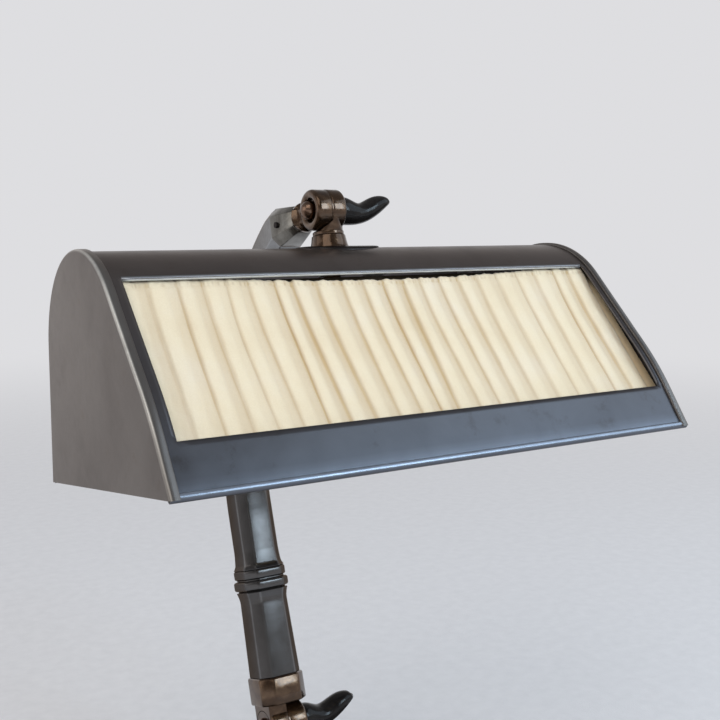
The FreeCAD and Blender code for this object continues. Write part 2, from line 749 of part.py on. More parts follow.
def shade_shell():
    """Folded sheet trough with the window, its folded lip, the rolled front edge and a back hem."""
    x_low, x_high = cap_thick, shade_length - cap_thick
    shell = arch(cap_rim_thick, x_low, x_high)
    shell = shell.cut(arch(inner_inset, x_low, x_high, -cut_margin))
    left, right = window_side, shade_length - window_side
    opening = [front_place(window_low, -cut_margin), front_place(window_low, cut_margin),
               front_place(window_high, cut_margin), front_place(window_high, -cut_margin)]
    shell = shell.cut(section_block(opening, left, right))
    lip = [front_place(window_high, cap_rim_thick), front_place(window_high + sheet_thick, cap_rim_thick),
           front_place(window_high + sheet_thick, cap_rim_thick + lip_depth),
           front_place(window_high, cap_rim_thick + lip_depth)]
    bead_place = move(front_place(0, cap_rim_thick + bead_radius), (0, 1), bead_radius)
    bead = cylinder(bead_radius, x_high - x_low, flat(bead_place, x_low), V(1, 0, 0))
    hem_depth = inner_inset + sheet_thick
    hem = arch(inner_inset, x_low, x_high).cut(arch(hem_depth, x_low, x_high, -cut_margin))
    hem = hem.common(box((x_low, x_high), (shade_depth / 2, shade_depth), (0, hem_width)))
    shell = shell.fuse([section_block(lip, left, right), bead, hem])
    hole = cylinder(neck_tail_radius + fit_gap, shade_height / 2,
                    V(neck_from_left, neck_from_front, shade_height / 2), V(0, 0, 1))
    return shell.cut(hole).removeSplitter()


def end_cap(side):
    """D-shaped end plate whose rim is folded over the sheet; side is 0 on the left, 1 on the right."""
    cap = arch(0.0, 0.0, cap_rim_width)
    rim = outer_edges(cap, lambda c: abs(c.x) < 0.01 and c.z > 0.01)
    cap = cap.makeFillet(cap_round, rim)
    cap = cap.cut(arch(cap_rim_thick, cap_thick, cap_rim_width, -cut_margin))
    bead_place = move(front_place(0, cap_rim_thick + bead_radius), (0, 1), bead_radius)
    cap = cap.cut(cylinder(bead_radius, cap_rim_width, flat(bead_place, cap_thick), V(1, 0, 0)))
    if side:
        cap = cap.mirror(V(shade_length / 2, 0, 0), V(1, 0, 0))
    return cap


# ================================================================ window frame and fabric
panel_foot = front_place(window_low, panel_low_depth)
panel_head = front_place(window_high, panel_high_depth)
panel_height = math.dist(panel_foot, panel_head)
panel_angle = math.degrees(math.atan2(panel_head[0] - panel_foot[0], panel_head[1] - panel_foot[1]))


def panel_place(up, out):
    """Point of the section, at a distance up the panel and out from its face."""
    return move(move(panel_foot, tangent(panel_angle), up), outward(panel_angle), out)


def panel_block(x, up, out):
    """Block on the panel between the pairs x, up and out, each (low, high)."""
    points = [panel_place(up[0], out[0]), panel_place(up[1], out[0]),
              panel_place(up[1], out[1]), panel_place(up[0], out[1])]
    return section_block(points, x[0], x[1])


rail_back = -panel_thick - soft_gap - frame_thick
frame_left = window_side - soft_gap - frame_side
frame_right = shade_length - frame_left
frame_low = -frame_rail_half
frame_high = panel_height + frame_rail_half


def window_frame():
    """Brass frame: flat side strips level with the fabric, and rails behind its top and bottom."""
    strips = []
    for x_out, x_in in ((frame_left, window_side - soft_gap), (frame_right, shade_length - window_side + soft_gap)):
        low, high = min(x_out, x_in), max(x_out, x_in)
        strips.append(panel_block((low, high), (frame_low, frame_high), (-frame_thick, 0)))
        web = (low, low + frame_thick) if x_out < x_in else (high - frame_thick, high)
        strips.append(panel_block(web, (frame_low, frame_high), (rail_back, 0)))
    rails = [panel_block((frame_left, frame_right), (frame_low, frame_rail_half), (rail_back, rail_back + frame_thick)),
             panel_block((frame_left, frame_right), (panel_height - frame_rail_half, frame_high),
                         (rail_back, rail_back + frame_thick))]
    return strips[0].fuse(strips[1:] + rails).removeSplitter()


def pleated_fabric():
    """Plain solid in the place of the pleated cream fabric."""
    return panel_block((window_side, shade_length - window_side), (-frame_rail_half + soft_gap,
                       panel_height - panel_top_drop), (-panel_thick, 0))


def frame_clips():
    """Six bent tabs, soldered inside the sheet, that hold the frame's rails."""
    room = arch(inner_inset, 0, shade_length)
    clips = []
    for x in (clip_end_inset, shade_length / 2, shade_length - clip_end_inset):
        span = (x - clip_width / 2, x + clip_width / 2)
        back = (rail_back - clip_thick, rail_back)
        riser = (frame_high, frame_high + clip_thick)
        top = panel_block(span, (frame_high - clip_reach, riser[1]), back)
        clips.append(top.fuse(panel_block(span, riser, (rail_back - clip_thick, cut_margin)).common(room)))
        riser = (frame_low - clip_thick, frame_low)
        low = panel_block(span, (riser[0], frame_low + clip_reach), back)
        clips.append(low.fuse(panel_block(span, riser, (rail_back - clip_thick, cut_margin)).common(room)))
    return Part.makeCompound(clips)


# ================================================================ neck and swivel, in the shade's frame
neck_base = V(neck_from_left, neck_from_front, 0)
rosette_top = shade_height - cap_rim_thick + rosette_thick
foot_top = rosette_top + neck_foot_height
ring_top = foot_top + neck_ring_height
joint_height = shade_height + neck_height
saddle_low = shade_height - inner_inset - saddle_drop
strap_low = saddle_low - strap_thick
ring_nut_low = strap_low - ring_nut_thick
tail_end = ring_nut_low - soft_gap
pivot_washer_low = tail_end - pivot_washer_thick
pivot_nut_low = pivot_washer_low - pivot_nut_thick
shade_joint = V(neck_from_left, neck_from_front, joint_height)


def rosette():
    """Thin oval plate between the neck and the crown, bent to the crown's curve."""
    skin = arch(cap_rim_thick - rosette_thick, 0, shade_length).cut(arch(cap_rim_thick, 0, shade_length))
    centre = V(shade_length / 2, neck_from_front, shade_height / 2)
    oval = Part.Ellipse(centre + V(rosette_half_length, 0, 0), centre + V(0, rosette_half_depth, 0), centre)
    column = Part.Face(Part.Wire(oval.toShape())).extrude(V(0, 0, shade_height))
    hole = cylinder(neck_tail_radius + fit_gap, shade_height, neck_base, V(0, 0, 1))
    return skin.common(column).cut(hole)


def neck_foot():
    """Lower half of the swivel: a short cone on the crown and a threaded tail through the sheet."""
    low = shade_height - 2 * rosette_thick - cap_rim_thick
    cone = Part.makeCone(neck_foot_radius, neck_foot_top_radius, foot_top - low, neck_base + V(0, 0, low))
    cone = cone.cut(arch(cap_rim_thick - rosette_thick, 0, shade_length))
    tail = cylinder(neck_tail_radius, foot_top - tail_end, neck_base + V(0, 0, tail_end), V(0, 0, 1))
    bore = cylinder(pivot_radius + run_gap, foot_top - tail_end, neck_base + V(0, 0, tail_end), V(0, 0, 1))
    return cone.fuse(tail).cut(bore).removeSplitter()


def neck_rib(left):
    """Slanting cone from the ring up the front of the joint, cut clear of the arm's eye to the left."""
    low = Part.Wire(Part.makeCircle(neck_web_radius, neck_base + V(0, 0, ring_top), V(0, 0, 1)))
    tip = neck_base + V(0, -neck_rib_reach, joint_height - neck_rib_drop)
    rib = Part.makeLoft([low, Part.Wire(Part.makeCircle(neck_rib_radius, tip, V(0, 0, 1)))], True, True)
    start = neck_from_left - neck_ring_radius
    room = cylinder(arm_eye_radius + soft_gap, left - start, V(start, neck_from_front, joint_height), V(1, 0, 0))
    return rib.cut(room)


def neck_head():
    """Upper half of the swivel: ring, rib, right eye of the upper joint and hollow pivot tube."""
    ring = cylinder(neck_ring_radius, neck_ring_height, neck_base + V(0, 0, foot_top), V(0, 0, 1))
    to_shade = neck_from_left - joint_shift
    left, right = neck_eye_left + to_shade, neck_eye_right + to_shade
    web = cylinder(neck_web_radius, joint_height - ring_top, neck_base + V(0, 0, ring_top), V(0, 0, 1))
    room = box((left, right), (0, shade_depth), (ring_top, joint_height))
    skirt = box((left, shade_length), (0, shade_depth), (ring_top, ring_top + neck_skirt_rise))
    web = web.common(room.fuse(skirt))
    barrel = cylinder(neck_eye_radius, right - left, V(left, neck_from_front, joint_height), V(1, 0, 0))
    edge = outer_edges(barrel, lambda c: abs(c.x - right) < 0.01)
    barrel = barrel.makeFillet(neck_eye_round, edge)
    tube_end = pivot_nut_low - soft_gap
    pivot = cylinder(pivot_radius, foot_top - tube_end, neck_base + V(0, 0, tube_end), V(0, 0, 1))
    whole = ring.fuse([web, barrel, pivot, neck_rib(left)])
    whole = whole.cut(cylinder(head_bolt_radius + run_gap, right - left,
                               V(left, neck_from_front, joint_height), V(1, 0, 0)))
    whole = whole.cut(cylinder(pivot_bore, ring_top - neck_ring_height / 3 - tube_end,
                               neck_base + V(0, 0, tube_end), V(0, 0, 1)))
    return whole.removeSplitter()


def saddle_washer():
    """Spacer under the crown: curved above, flat below."""
    block = cylinder(saddle_radius, shade_height - saddle_low, neck_base + V(0, 0, saddle_low), V(0, 0, 1))
    block = block.common(arch(inner_inset, 0, shade_length))
    return block.cut(cylinder(neck_tail_radius + fit_gap, shade_height, neck_base + V(0, 0, saddle_low), V(0, 0, 1)))


def ring_nut():
    """Round nut on the neck's tail, under the bracket."""
    start = neck_base + V(0, 0, ring_nut_low)
    return tube(ring_nut_radius, neck_tail_radius, ring_nut_thick, start, V(0, 0, 1))


def pivot_washer():
    """Friction washer of the swivel."""
    start = neck_base + V(0, 0, pivot_washer_low)
    return tube(pivot_washer_radius, pivot_radius + run_gap, pivot_washer_thick, start, V(0, 0, 1))


def pivot_nut():
    """Lock nut on the pivot tube."""
    start = neck_base + V(0, 0, pivot_nut_low)
    nut = hexagon(pivot_nut_across, pivot_nut_thick, start, V(0, 0, 1))
    return nut.cut(cylinder(pivot_radius, pivot_nut_thick, start, V(0, 0, 1)))


# ================================================================ lampholder and bulb, in the shade's frame
lamp_axis_height = shade_height - lamp_drop
lamp_axis = V(0, neck_from_front, lamp_axis_height)
bracket_face = holder_back_x - strap_thick
holder_front = bracket_face - holder_length


def on_lamp(x):
    """Point on the bulb's axis."""
    return lamp_axis + V(x, 0, 0)


def holder_bracket():
    """Steel strap clamped under the neck, bent down to carry the lampholder."""
    half = strap_width / 2
    y = (neck_from_front - half, neck_from_front + half)
    flat_part = box((neck_from_left - saddle_radius, holder_back_x), y, (strap_low, saddle_low))
    foot = lamp_axis_height - holder_radius
    upright = box((bracket_face, holder_back_x), y, (foot, saddle_low))
    whole = flat_part.fuse(upright)
    whole = whole.cut(cylinder(neck_tail_radius + fit_gap, shade_height, neck_base, V(0, 0, 1)))
    whole = whole.cut(cylinder(nipple_radius + fit_gap, strap_thick, on_lamp(bracket_face), V(1, 0, 0)))
    return whole.removeSplitter()


def holder_nipple():
    """Hollow threaded nipple that fixes the lampholder to the bracket."""
    start = on_lamp(bracket_face - nipple_tail)
    return tube(nipple_radius, nipple_bore, 2 * nipple_tail + strap_thick, start, V(1, 0, 0))


def holder_nuts():
    """Two thin nuts on the nipple, behind the bracket."""
    nuts = []
    for i in range(2):
        start = on_lamp(holder_back_x + i * holder_nut_thick)
        nut = hexagon(holder_nut_across, holder_nut_thick, start, V(1, 0, 0))
        nuts.append(nut.cut(cylinder(nipple_radius, holder_nut_thick, start, V(1, 0, 0))))
    return Part.makeCompound(nuts)


def holder_cap():
    """Domed back half of the lampholder, screwed on the nipple."""
    rear = bracket_face
    front = rear - holder_cap_length
    body = cylinder(holder_radius, holder_cap_length, on_lamp(front), V(1, 0, 0))
    edge = outer_edges(body, lambda c: abs(c.x - rear) < 0.01)
    body = body.makeFillet(holder_nose, edge)
    inside = cylinder(holder_radius - holder_wall, holder_cap_length - nipple_tail, on_lamp(front), V(1, 0, 0))
    body = body.cut(inside)
    return body.cut(cylinder(nipple_radius + fit_gap, holder_cap_length, on_lamp(front), V(1, 0, 0)))


def holder_barrel():
    """Front half of the lampholder: a tube with a rolled mouth and the key's bearing."""
    length = holder_length - holder_cap_length
    barrel = tube(holder_radius - soft_gap, holder_radius - soft_gap - holder_wall, length,
                  on_lamp(holder_front), V(1, 0, 0))
    mouth = Part.makeTorus(holder_radius - holder_wall, holder_wall, on_lamp(holder_front), V(1, 0, 0))
    barrel = barrel.fuse(mouth)
    return barrel.cut(cylinder(key_shaft_radius + run_gap, 2 * holder_radius, key_place(), V(0, 0, -1)))


def key_place():
    """Point on the bulb's axis above the key."""
    return on_lamp(bracket_face - key_from_plate)


def holder_core():
    """Moulded insulator behind the screw shell."""
    front = bracket_face - holder_cap_length - core_length / 2
    radius = holder_radius - holder_wall - 2 * soft_gap
    body = cylinder(radius, core_length / 2 + holder_cap_length - nipple_tail - soft_gap, on_lamp(front), V(1, 0, 0))
    slot = cylinder(key_shaft_radius + soft_gap, 2 * holder_radius, key_place(), V(0, 0, -1))
    return body.cut(slot)


core_front = bracket_face - holder_cap_length - core_length / 2


def screw_shell():
    """Brass threaded sleeve that takes the bulb's cap."""
    length = core_front - holder_front
    return tube(screw_shell_radius, screw_shell_radius - screw_shell_wall, length, on_lamp(holder_front), V(1, 0, 0))


def centre_contact():
    """Bronze tongue that the bulb's tip presses on."""
    half = contact_width / 2
    return box((core_front - contact_thick, core_front),
               (neck_from_front - half, neck_from_front + half),
               (lamp_axis_height - contact_width, lamp_axis_height + contact_width))


def switch_key():
    """Turn key of the lampholder: a shaft into the core and a flat wing below."""
    top = key_place() - V(0, 0, holder_radius - 2 * key_shaft_length / 3)
    shaft = cylinder(key_shaft_radius, 2 * key_shaft_length, top, V(0, 0, -1))
    low = top - V(0, 0, 2 * key_shaft_length)
    half, thick = key_wing_length / 2, key_wing_thick / 2
    wing = box((low.x - half, low.x + half), (low.y - thick, low.y + thick), (low.z - key_wing_height, low.z))
    ends = outer_edges(wing, lambda c: abs(abs(c.x - low.x) - half) < 0.01 and c.z < low.z - key_wing_height + 0.01)
    wing = wing.makeFillet(key_wing_thick / 3, ends)
    return shaft.fuse(wing)


lamp_tip = core_front - contact_thick
lamp_cap_back = lamp_tip - lamp_tip_length
lamp_cap_front = lamp_cap_back - lamp_cap_length


def bulb_cap():
    """Screw cap of the bulb with its centre contact."""
    cap = cylinder(lamp_cap_radius, lamp_cap_length, on_lamp(lamp_cap_front), V(1, 0, 0))
    tip = Part.makeCone(lamp_tip_radius * 1.6, lamp_tip_radius, lamp_tip_length, on_lamp(lamp_cap_back), V(1, 0, 0))
    return cap.fuse(tip)


def bulb_glass():
    """Tubular bulb: a round-ended tube that narrows to its cap."""
    neck = Part.makeCone(lamp_glass_radius, lamp_cap_radius, lamp_neck_length,
                         on_lamp(lamp_cap_front - lamp_neck_length), V(1, 0, 0))
    length = lamp_glass_length - lamp_neck_length - lamp_glass_radius
    start = lamp_cap_front - lamp_neck_length - length
    body = cylinder(lamp_glass_radius, length, on_lamp(start), V(1, 0, 0))
    end = Part.makeSphere(lamp_glass_radius, on_lamp(start))
    return body.fuse([neck, end]).removeSplitter()


# ================================================================ placing and export
def place_on_arm(shape):
    """Turn a piece from the shade's own frame to its tilt, and hang it on the upper joint."""
    turned = shape.copy()
    turned.rotate(V(0, 0, 0), V(1, 0, 0), -shade_tilt)
    turn = FreeCAD.Rotation(V(1, 0, 0), -shade_tilt)
    turned.translate(head_axis + V(joint_shift, 0, 0) - turn.multVec(shade_joint))
    return turned


def save(name, shape):
    """Write one node, after a check that every solid in it is sound."""
    if not shape.isValid() or not shape.Solids:
        raise ValueError(name + " is not a valid solid")
    shape.exportStep("parts/" + name + ".step")


stand_nodes = {
    "base_casting": base_casting,
    "base_plate": base_plate,
    "base_plate_screws": base_plate_screws,
    "base_felt": base_felt,
    "base_weight": base_weight,
    "cord_inlet_bush": cord_inlet_bush,
    "base_knuckle": base_knuckle,
    "knuckle_washer": knuckle_washer,
    "knuckle_nut": knuckle_nut,
    "lower_clamp_bolt": lambda: clamp_bolt(foot_bolt_radius, foot_scale, foot_left,
                                           foot_right + lever_bolt_depth, foot_axis),
    "lower_friction_washer": lambda: tube(foot_eye_radius - soft_gap, foot_bolt_radius + fit_gap, foot_washer,
                                          foot_axis - V(foot_half_washer, 0, 0), V(1, 0, 0)),
    "lower_thumb_lever": lambda: thumb_lever(foot_lever_length, foot_right, foot_axis,
                                             foot_bolt_radius + run_gap, lever_bolt_depth + soft_gap),
    "stem_foot": stem_foot,
    "lower_stem": lower_stem,
    "stem_collar": stem_collar,
    "gooseneck": gooseneck,
    "stem_set_screws": stem_set_screws,
    "arm_head": arm_head,
    "upper_clamp_bolt": lambda: clamp_bolt(head_bolt_radius, 1.0, joint_left,
                                           neck_eye_right + lever_bolt_depth, head_axis),
    "upper_friction_washer": lambda: tube(neck_eye_radius - soft_gap, head_bolt_radius + fit_gap, head_washer,
                                          head_axis + V(arm_eye_right, 0, 0), V(1, 0, 0)),
    "upper_thumb_lever": lambda: thumb_lever(head_lever_length, neck_eye_right, head_axis,
                                             head_bolt_radius + run_gap, lever_bolt_depth + soft_gap),
}

shade_nodes = {
    "shade_shell": shade_shell,
    "end_cap_left": lambda: end_cap(0),
    "end_cap_right": lambda: end_cap(1),
    "window_frame": window_frame,
    "pleated_fabric": pleated_fabric,
    "frame_clips": frame_clips,
    "rosette": rosette,
    "neck_foot": neck_foot,
    "neck_head": neck_head,
    "saddle_washer": saddle_washer,
    "ring_nut": ring_nut,
    "pivot_washer": pivot_washer,
    "pivot_nut": pivot_nut,
    "holder_bracket": holder_bracket,
    "holder_nipple": holder_nipple,
    "holder_nuts": holder_nuts,
    "holder_cap": holder_cap,
    "holder_barrel": holder_barrel,
    "holder_core": holder_core,
    "screw_shell": screw_shell,
    "centre_contact": centre_contact,
    "switch_key": switch_key,
    "bulb_cap": bulb_cap,
    "bulb_glass": bulb_glass,
}

os.makedirs("parts", exist_ok=True)
for name, make in stand_nodes.items():
    save(name, make())
for name, make in shade_nodes.items():
    save(name, place_on_arm(make()))
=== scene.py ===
import bmesh
import bpy
import math
import mathutils
import numpy as np
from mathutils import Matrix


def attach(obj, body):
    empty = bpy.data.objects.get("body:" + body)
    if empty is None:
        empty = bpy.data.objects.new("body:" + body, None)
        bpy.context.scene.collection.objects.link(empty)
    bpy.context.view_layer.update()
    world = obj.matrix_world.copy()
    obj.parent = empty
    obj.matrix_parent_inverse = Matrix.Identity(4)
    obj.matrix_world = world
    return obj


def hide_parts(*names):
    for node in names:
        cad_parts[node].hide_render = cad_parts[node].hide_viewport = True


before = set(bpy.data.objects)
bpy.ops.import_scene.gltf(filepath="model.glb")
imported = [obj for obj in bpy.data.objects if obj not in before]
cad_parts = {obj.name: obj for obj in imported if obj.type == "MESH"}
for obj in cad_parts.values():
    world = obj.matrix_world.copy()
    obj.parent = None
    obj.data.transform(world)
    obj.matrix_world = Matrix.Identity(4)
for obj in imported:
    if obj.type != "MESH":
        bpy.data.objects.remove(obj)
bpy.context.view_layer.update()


# ------------------------------------------------------------------ camera
# Stands to the left of the shade's front, level with the crown, and looks a little down. Its long lens keeps
# the shade's edges nearly parallel.
camera = bpy.data.objects.new("camera", bpy.data.cameras.new("camera"))
bpy.context.scene.collection.objects.link(camera)
bpy.context.scene.camera = camera
camera.data.lens, camera.data.sensor_width = 52.37, 36.0
camera.data.clip_start, camera.data.clip_end = 0.01, 50.0
camera.matrix_world = mathutils.Matrix((
    (0.8495, 0.0684, -0.5232, -0.2906),
    (-0.5277, 0.1104, -0.8423, -0.5265),
    (0.0000, 0.9915, 0.1299, 0.3691),
    (0.0, 0.0, 0.0, 1.0)))
bpy.context.scene.view_settings.view_transform = "Standard"


# ------------------------------------------------------------------ table top, wall and lamps
# A pale matt table that passes into a pale wall with distance; the ceiling and the near side of the room are
# dimmer. A wide cool lamp hangs high at the front right with a narrow one below it, and two warm ones hang at
# the left.
def blank_finish(name, **plain):
    """Material with one Principled shader; plain values are set on the shader's own sockets."""
    finish = bpy.data.materials.new(name)
    finish.use_nodes = True
    tree = finish.node_tree
    shader = tree.nodes["Principled BSDF"]
    for socket, value in plain.items():
        shader.inputs[socket.replace("_", " ")].default_value = value
    return finish, tree, shader


def grain(tree, scale, detail=5.0, rough=0.55, twist=0.0, squeeze=(1.0, 1.0, 1.0)):
    """Noise on the piece's own coordinates; a squeeze above 1 packs it tighter along that axis."""
    place = tree.nodes.new("ShaderNodeTexCoord")
    squeezed = tree.nodes.new("ShaderNodeMapping")
    squeezed.inputs["Scale"].default_value = squeeze
    noise = tree.nodes.new("ShaderNodeTexNoise")
    for socket, value in (("Scale", scale), ("Detail", detail), ("Roughness", rough), ("Distortion", twist)):
        noise.inputs[socket].default_value = value
    tree.links.new(place.outputs["Object"], squeezed.inputs["Vector"])
    tree.links.new(squeezed.outputs["Vector"], noise.inputs["Vector"])
    return noise.outputs["Fac"]


def tints(tree, value, *stops):
    """Colour ramp over a value; each stop is (position, (red, green, blue))."""
    ramp = tree.nodes.new("ShaderNodeValToRGB")
    points = ramp.color_ramp.elements
    while len(points) < len(stops):
        points.new(0.5)
    for point, (position, colour) in zip(points, stops):
        point.position, point.color = position, (*colour, 1.0)
    tree.links.new(value, ramp.inputs["Fac"])
    return ramp.outputs["Color"]


def between(tree, value, low, high, start=0.3, end=0.7, smooth=False):
    """Value stretched from the range start to end onto the range low to high, with eased ends if smooth."""
    stretch = tree.nodes.new("ShaderNodeMapRange")
    stretch.interpolation_type = "SMOOTHSTEP" if smooth else "LINEAR"
    for socket, number in (("From Min", start), ("From Max", end), ("To Min", low), ("To Max", high)):
        stretch.inputs[socket].default_value = number
    tree.links.new(value, stretch.inputs["Value"])
    return stretch.outputs["Result"]


def worked(tree, operation, first, second):
    """Result of a sum, product or choice over two values."""
    step = tree.nodes.new("ShaderNodeMath")
    step.operation = operation
    tree.links.new(first, step.inputs[0])
    tree.links.new(second, step.inputs[1])
    return step.outputs[0]


def blended(tree, share, first, second, way="MIX"):
    """Mix of two colours by a share that is a number or another value."""
    mix = tree.nodes.new("ShaderNodeMix")
    mix.data_type, mix.blend_type = "RGBA", way
    if isinstance(share, float):
        mix.inputs[0].default_value = share
    else:
        tree.links.new(share, mix.inputs[0])
    tree.links.new(first, mix.inputs[6])
    tree.links.new(second, mix.inputs[7])
    return mix.outputs[2]


def stained(tree, first, second, share=1.0):
    """Product of two colours, the second laid on by a share."""
    return blended(tree, share, first, second, "MULTIPLY")


def relief(tree, shader, *layers):
    """Bumps stacked on the shader's normal; each layer is (height value, depth in metres)."""
    normal = None
    for height, depth in layers:
        bump = tree.nodes.new("ShaderNodeBump")
        bump.inputs["Distance"].default_value = depth
        tree.links.new(height, bump.inputs["Height"])
        if normal is not None:
            tree.links.new(normal, bump.inputs["Normal"])
        normal = bump.outputs["Normal"]
    tree.links.new(normal, shader.inputs["Normal"])


def sees_room(tree):
    """1 for the eye, for gloss and for glass, 0 for soft light."""
    path = tree.nodes.new("ShaderNodeLightPath").outputs
    seen = worked(tree, "MAXIMUM", path["Is Camera Ray"], path["Is Glossy Ray"])
    return worked(tree, "MAXIMUM", seen, path["Is Transmission Ray"])


pale_wall, white = (0.73, 0.73, 0.75), (1.0, 1.0, 1.0)
bpy.context.scene.world = bpy.data.worlds.new("pale_wall")
bpy.context.scene.world.use_nodes = True
sky = bpy.context.scene.world.node_tree
room = sky.nodes.new("ShaderNodeBackground")
lit = sky.nodes["Background"]
lit.inputs["Color"].default_value = (0.66, 0.66, 0.67, 1.0)
way = sky.nodes.new("ShaderNodeTexCoord")
split = sky.nodes.new("ShaderNodeSeparateXYZ")
sky.links.new(way.outputs["Generated"], split.inputs["Vector"])
height_tint = tints(sky, between(sky, split.outputs["Z"], 0.0, 1.0, -0.2, 1.0), (0.0, pale_wall),
                    (0.34, pale_wall), (0.47, (0.55, 0.54, 0.54)), (0.67, (0.30, 0.29, 0.29)),
                    (1.0, (0.20, 0.20, 0.21)))
toward = sky.nodes.new("ShaderNodeVectorMath")
toward.operation = "DOT_PRODUCT"
toward.inputs[1].default_value = (-0.60, -0.80, 0.0)
sky.links.new(way.outputs["Generated"], toward.inputs[0])
dim_side = tints(sky, between(sky, toward.outputs["Value"], 0.0, 1.0, 0.1, 0.85), (0.0, white),
                 (1.0, (0.34, 0.33, 0.32)))
above = between(sky, split.outputs["Z"], 0.0, 1.0, 0.02, 0.20, smooth=True)
sky.links.new(blended(sky, above, height_tint, stained(sky, height_tint, dim_side)), room.inputs["Color"])
by_way = sky.nodes.new("ShaderNodeMixShader")
sky.links.new(sees_room(sky), by_way.inputs[0])
sky.links.new(lit.outputs["Background"], by_way.inputs[1])
sky.links.new(room.outputs["Background"], by_way.inputs[2])
sky.links.new(by_way.outputs["Shader"], sky.nodes["World Output"].inputs["Surface"])

table_finish, tree, shader = blank_finish("pale_table", Roughness=0.85)
tree.links.new(tints(tree, grain(tree, 90.0, 3.0), (0.3, (0.70, 0.70, 0.72)), (0.7, (0.74, 0.74, 0.76))),
               shader.inputs["Base Color"])
relief(tree, shader, (grain(tree, 900.0, 2.0), 0.0002))
far = tree.nodes.new("ShaderNodeEmission")
far.inputs["Color"].default_value = (*pale_wall, 1.0)
distance = tree.nodes.new("ShaderNodeVectorMath")
distance.operation = "LENGTH"
tree.links.new(tree.nodes.new("ShaderNodeTexCoord").outputs["Object"], distance.inputs[0])
away = between(tree, distance.outputs["Value"], 0.0, 1.0, 0.4, 2.6, smooth=True)
fade = tree.nodes.new("ShaderNodeMixShader")
tree.links.new(worked(tree, "MULTIPLY", away, sees_room(tree)), fade.inputs[0])
tree.links.new(shader.outputs["BSDF"], fade.inputs[1])
tree.links.new(far.outputs["Emission"], fade.inputs[2])
tree.links.new(fade.outputs["Shader"], tree.nodes["Material Output"].inputs["Surface"])
table_radius, table_corners = 14.0, 96
round_way = np.linspace(0.0, 2 * np.pi, table_corners, endpoint=False)
rim_points = np.stack([table_radius * np.cos(round_way), table_radius * np.sin(round_way), 0 * round_way], -1)
table_mesh = bpy.data.meshes.new("table_top")
table_mesh.from_pydata(rim_points.tolist(), [], [list(range(table_corners))])
table_mesh.materials.append(table_finish)
table_top = bpy.data.objects.new("table_top", table_mesh)
bpy.context.scene.collection.objects.link(table_top)

for name, place, aim, size, watts, colour in (
        ("window_light", (1.22, -0.82, 1.15), (0.0, 0.0, 0.33), (1.2, 1.1), 5.2, (0.66, 0.83, 1.0)),
        ("key_light", (-0.90, -0.70, 1.45), (0.0, 0.0, 0.33), (1.2, 1.0), 5.8, (1.0, 0.96, 0.90)),
        ("strip_light", (0.60, -1.12, 0.83), (0.0, 0.0, 0.25), (0.36, 0.60), 5.6, (0.67, 0.85, 1.0)),
        ("room_light", (-1.5, 0.25, 0.75), (0.0, 0.0, 0.30), (1.2, 0.9), 2.2, (1.0, 0.95, 0.90))):
    lamp = bpy.data.lights.new(name, "AREA")
    lamp.shape, lamp.energy, lamp.color = "RECTANGLE", watts, colour
    lamp.size, lamp.size_y = size
    holder = bpy.data.objects.new(name, lamp)
    holder.location = place
    facing = mathutils.Vector(aim) - mathutils.Vector(place)
    holder.rotation_euler = facing.to_track_quat("-Z", "Y").to_euler()
    bpy.context.scene.collection.objects.link(holder)


# ------------------------------------------------------------------ shade: folded sheet
# One sheet of 0.8 mm steel, bent over a former to a trough and blackened. Its front edge is rolled
# round a wire, its back edge is folded in as a hem, and the window is cut out before bending.
shade_tilt = math.radians(9.44)
shade_joint = (142.0, 110.0, 136.0)
arm_joint = (0.0, -14.0, 376.0)
shade_length = 300.0
outline_end = 310.1986
cap_rim = 1.2  # how deep the sheet lies under the caps' outline


def stood(points):
    """Millimetres to metres."""
    return np.asarray(points) / 1000.0


def hung(points):
    """Shade's own millimetres (along, back, up) to metres in place: turned by the tilt about X, then moved
    so that the joint of the neck lies on the joint of the arm."""
    along, back, up = np.moveaxis(np.asarray(points, float) - shade_joint, -1, 0)
    cos, sin = math.cos(shade_tilt), math.sin(shade_tilt)
    return (np.stack([along, back * cos + up * sin, up * cos - back * sin], -1) + arm_joint) / 1000.0


walk = np.linspace(0.0, outline_end, 12001)
lean = np.radians(np.interp(walk, [0, 24.0, 53.9498, 108.2498, 163.794, 237.2993],
                            [26, 26, 36.4, 36.4, 90, 169.5]))
mid_lean = (lean[1:] + lean[:-1]) / 2
walk_back = np.concatenate([[0], np.cumsum(np.sin(mid_lean))]) * walk[1]
walk_up = np.concatenate([[0], np.cumsum(np.cos(mid_lean))]) * walk[1]


def section(distance, depth):
    """Point (back, up) of the shade's outline at a distance walked from the bottom of the front, at a depth
    under it. The lean from upright changes evenly with distance in each bend, and the place is the running
    sum of its sine and cosine."""
    distance, depth = np.broadcast_arrays(np.asarray(distance, float), np.asarray(depth, float))
    turn = np.interp(distance, walk, lean)
    return np.stack([np.interp(distance, walk, walk_back) + depth * np.cos(turn),
                     np.interp(distance, walk, walk_up) - depth * np.sin(turn)], -1)


def along_shade(x, profile):
    """Grid of a (back, up) profile repeated at each distance x along the shade."""
    x, profile = np.asarray(x, float), np.asarray(profile, float)
    flat = np.broadcast_to(profile, (len(x), len(profile), 2))
    return np.concatenate([np.broadcast_to(x[:, None, None], flat.shape[:2] + (1,)), flat], -1)


def net(grid, closed=False, ends=False):
    """Points and faces of a grid of rows by columns: a quad between neighbours, the last column joined to the
    first if closed, and one flat face over the first and last rows if ends."""
    rows, columns = grid.shape[:2]
    index = np.arange(rows * columns).reshape(rows, columns)
    if closed:
        index = np.concatenate([index, index[:, :1]], 1)
    quads = np.stack([index[:-1, :-1], index[:-1, 1:], index[1:, 1:], index[1:, :-1]], -1).reshape(-1, 4)
    covers = [index[0, :columns][::-1].tolist(), index[-1, :columns].tolist()] if ends else []
    return grid.reshape(-1, 3), quads.tolist() + covers


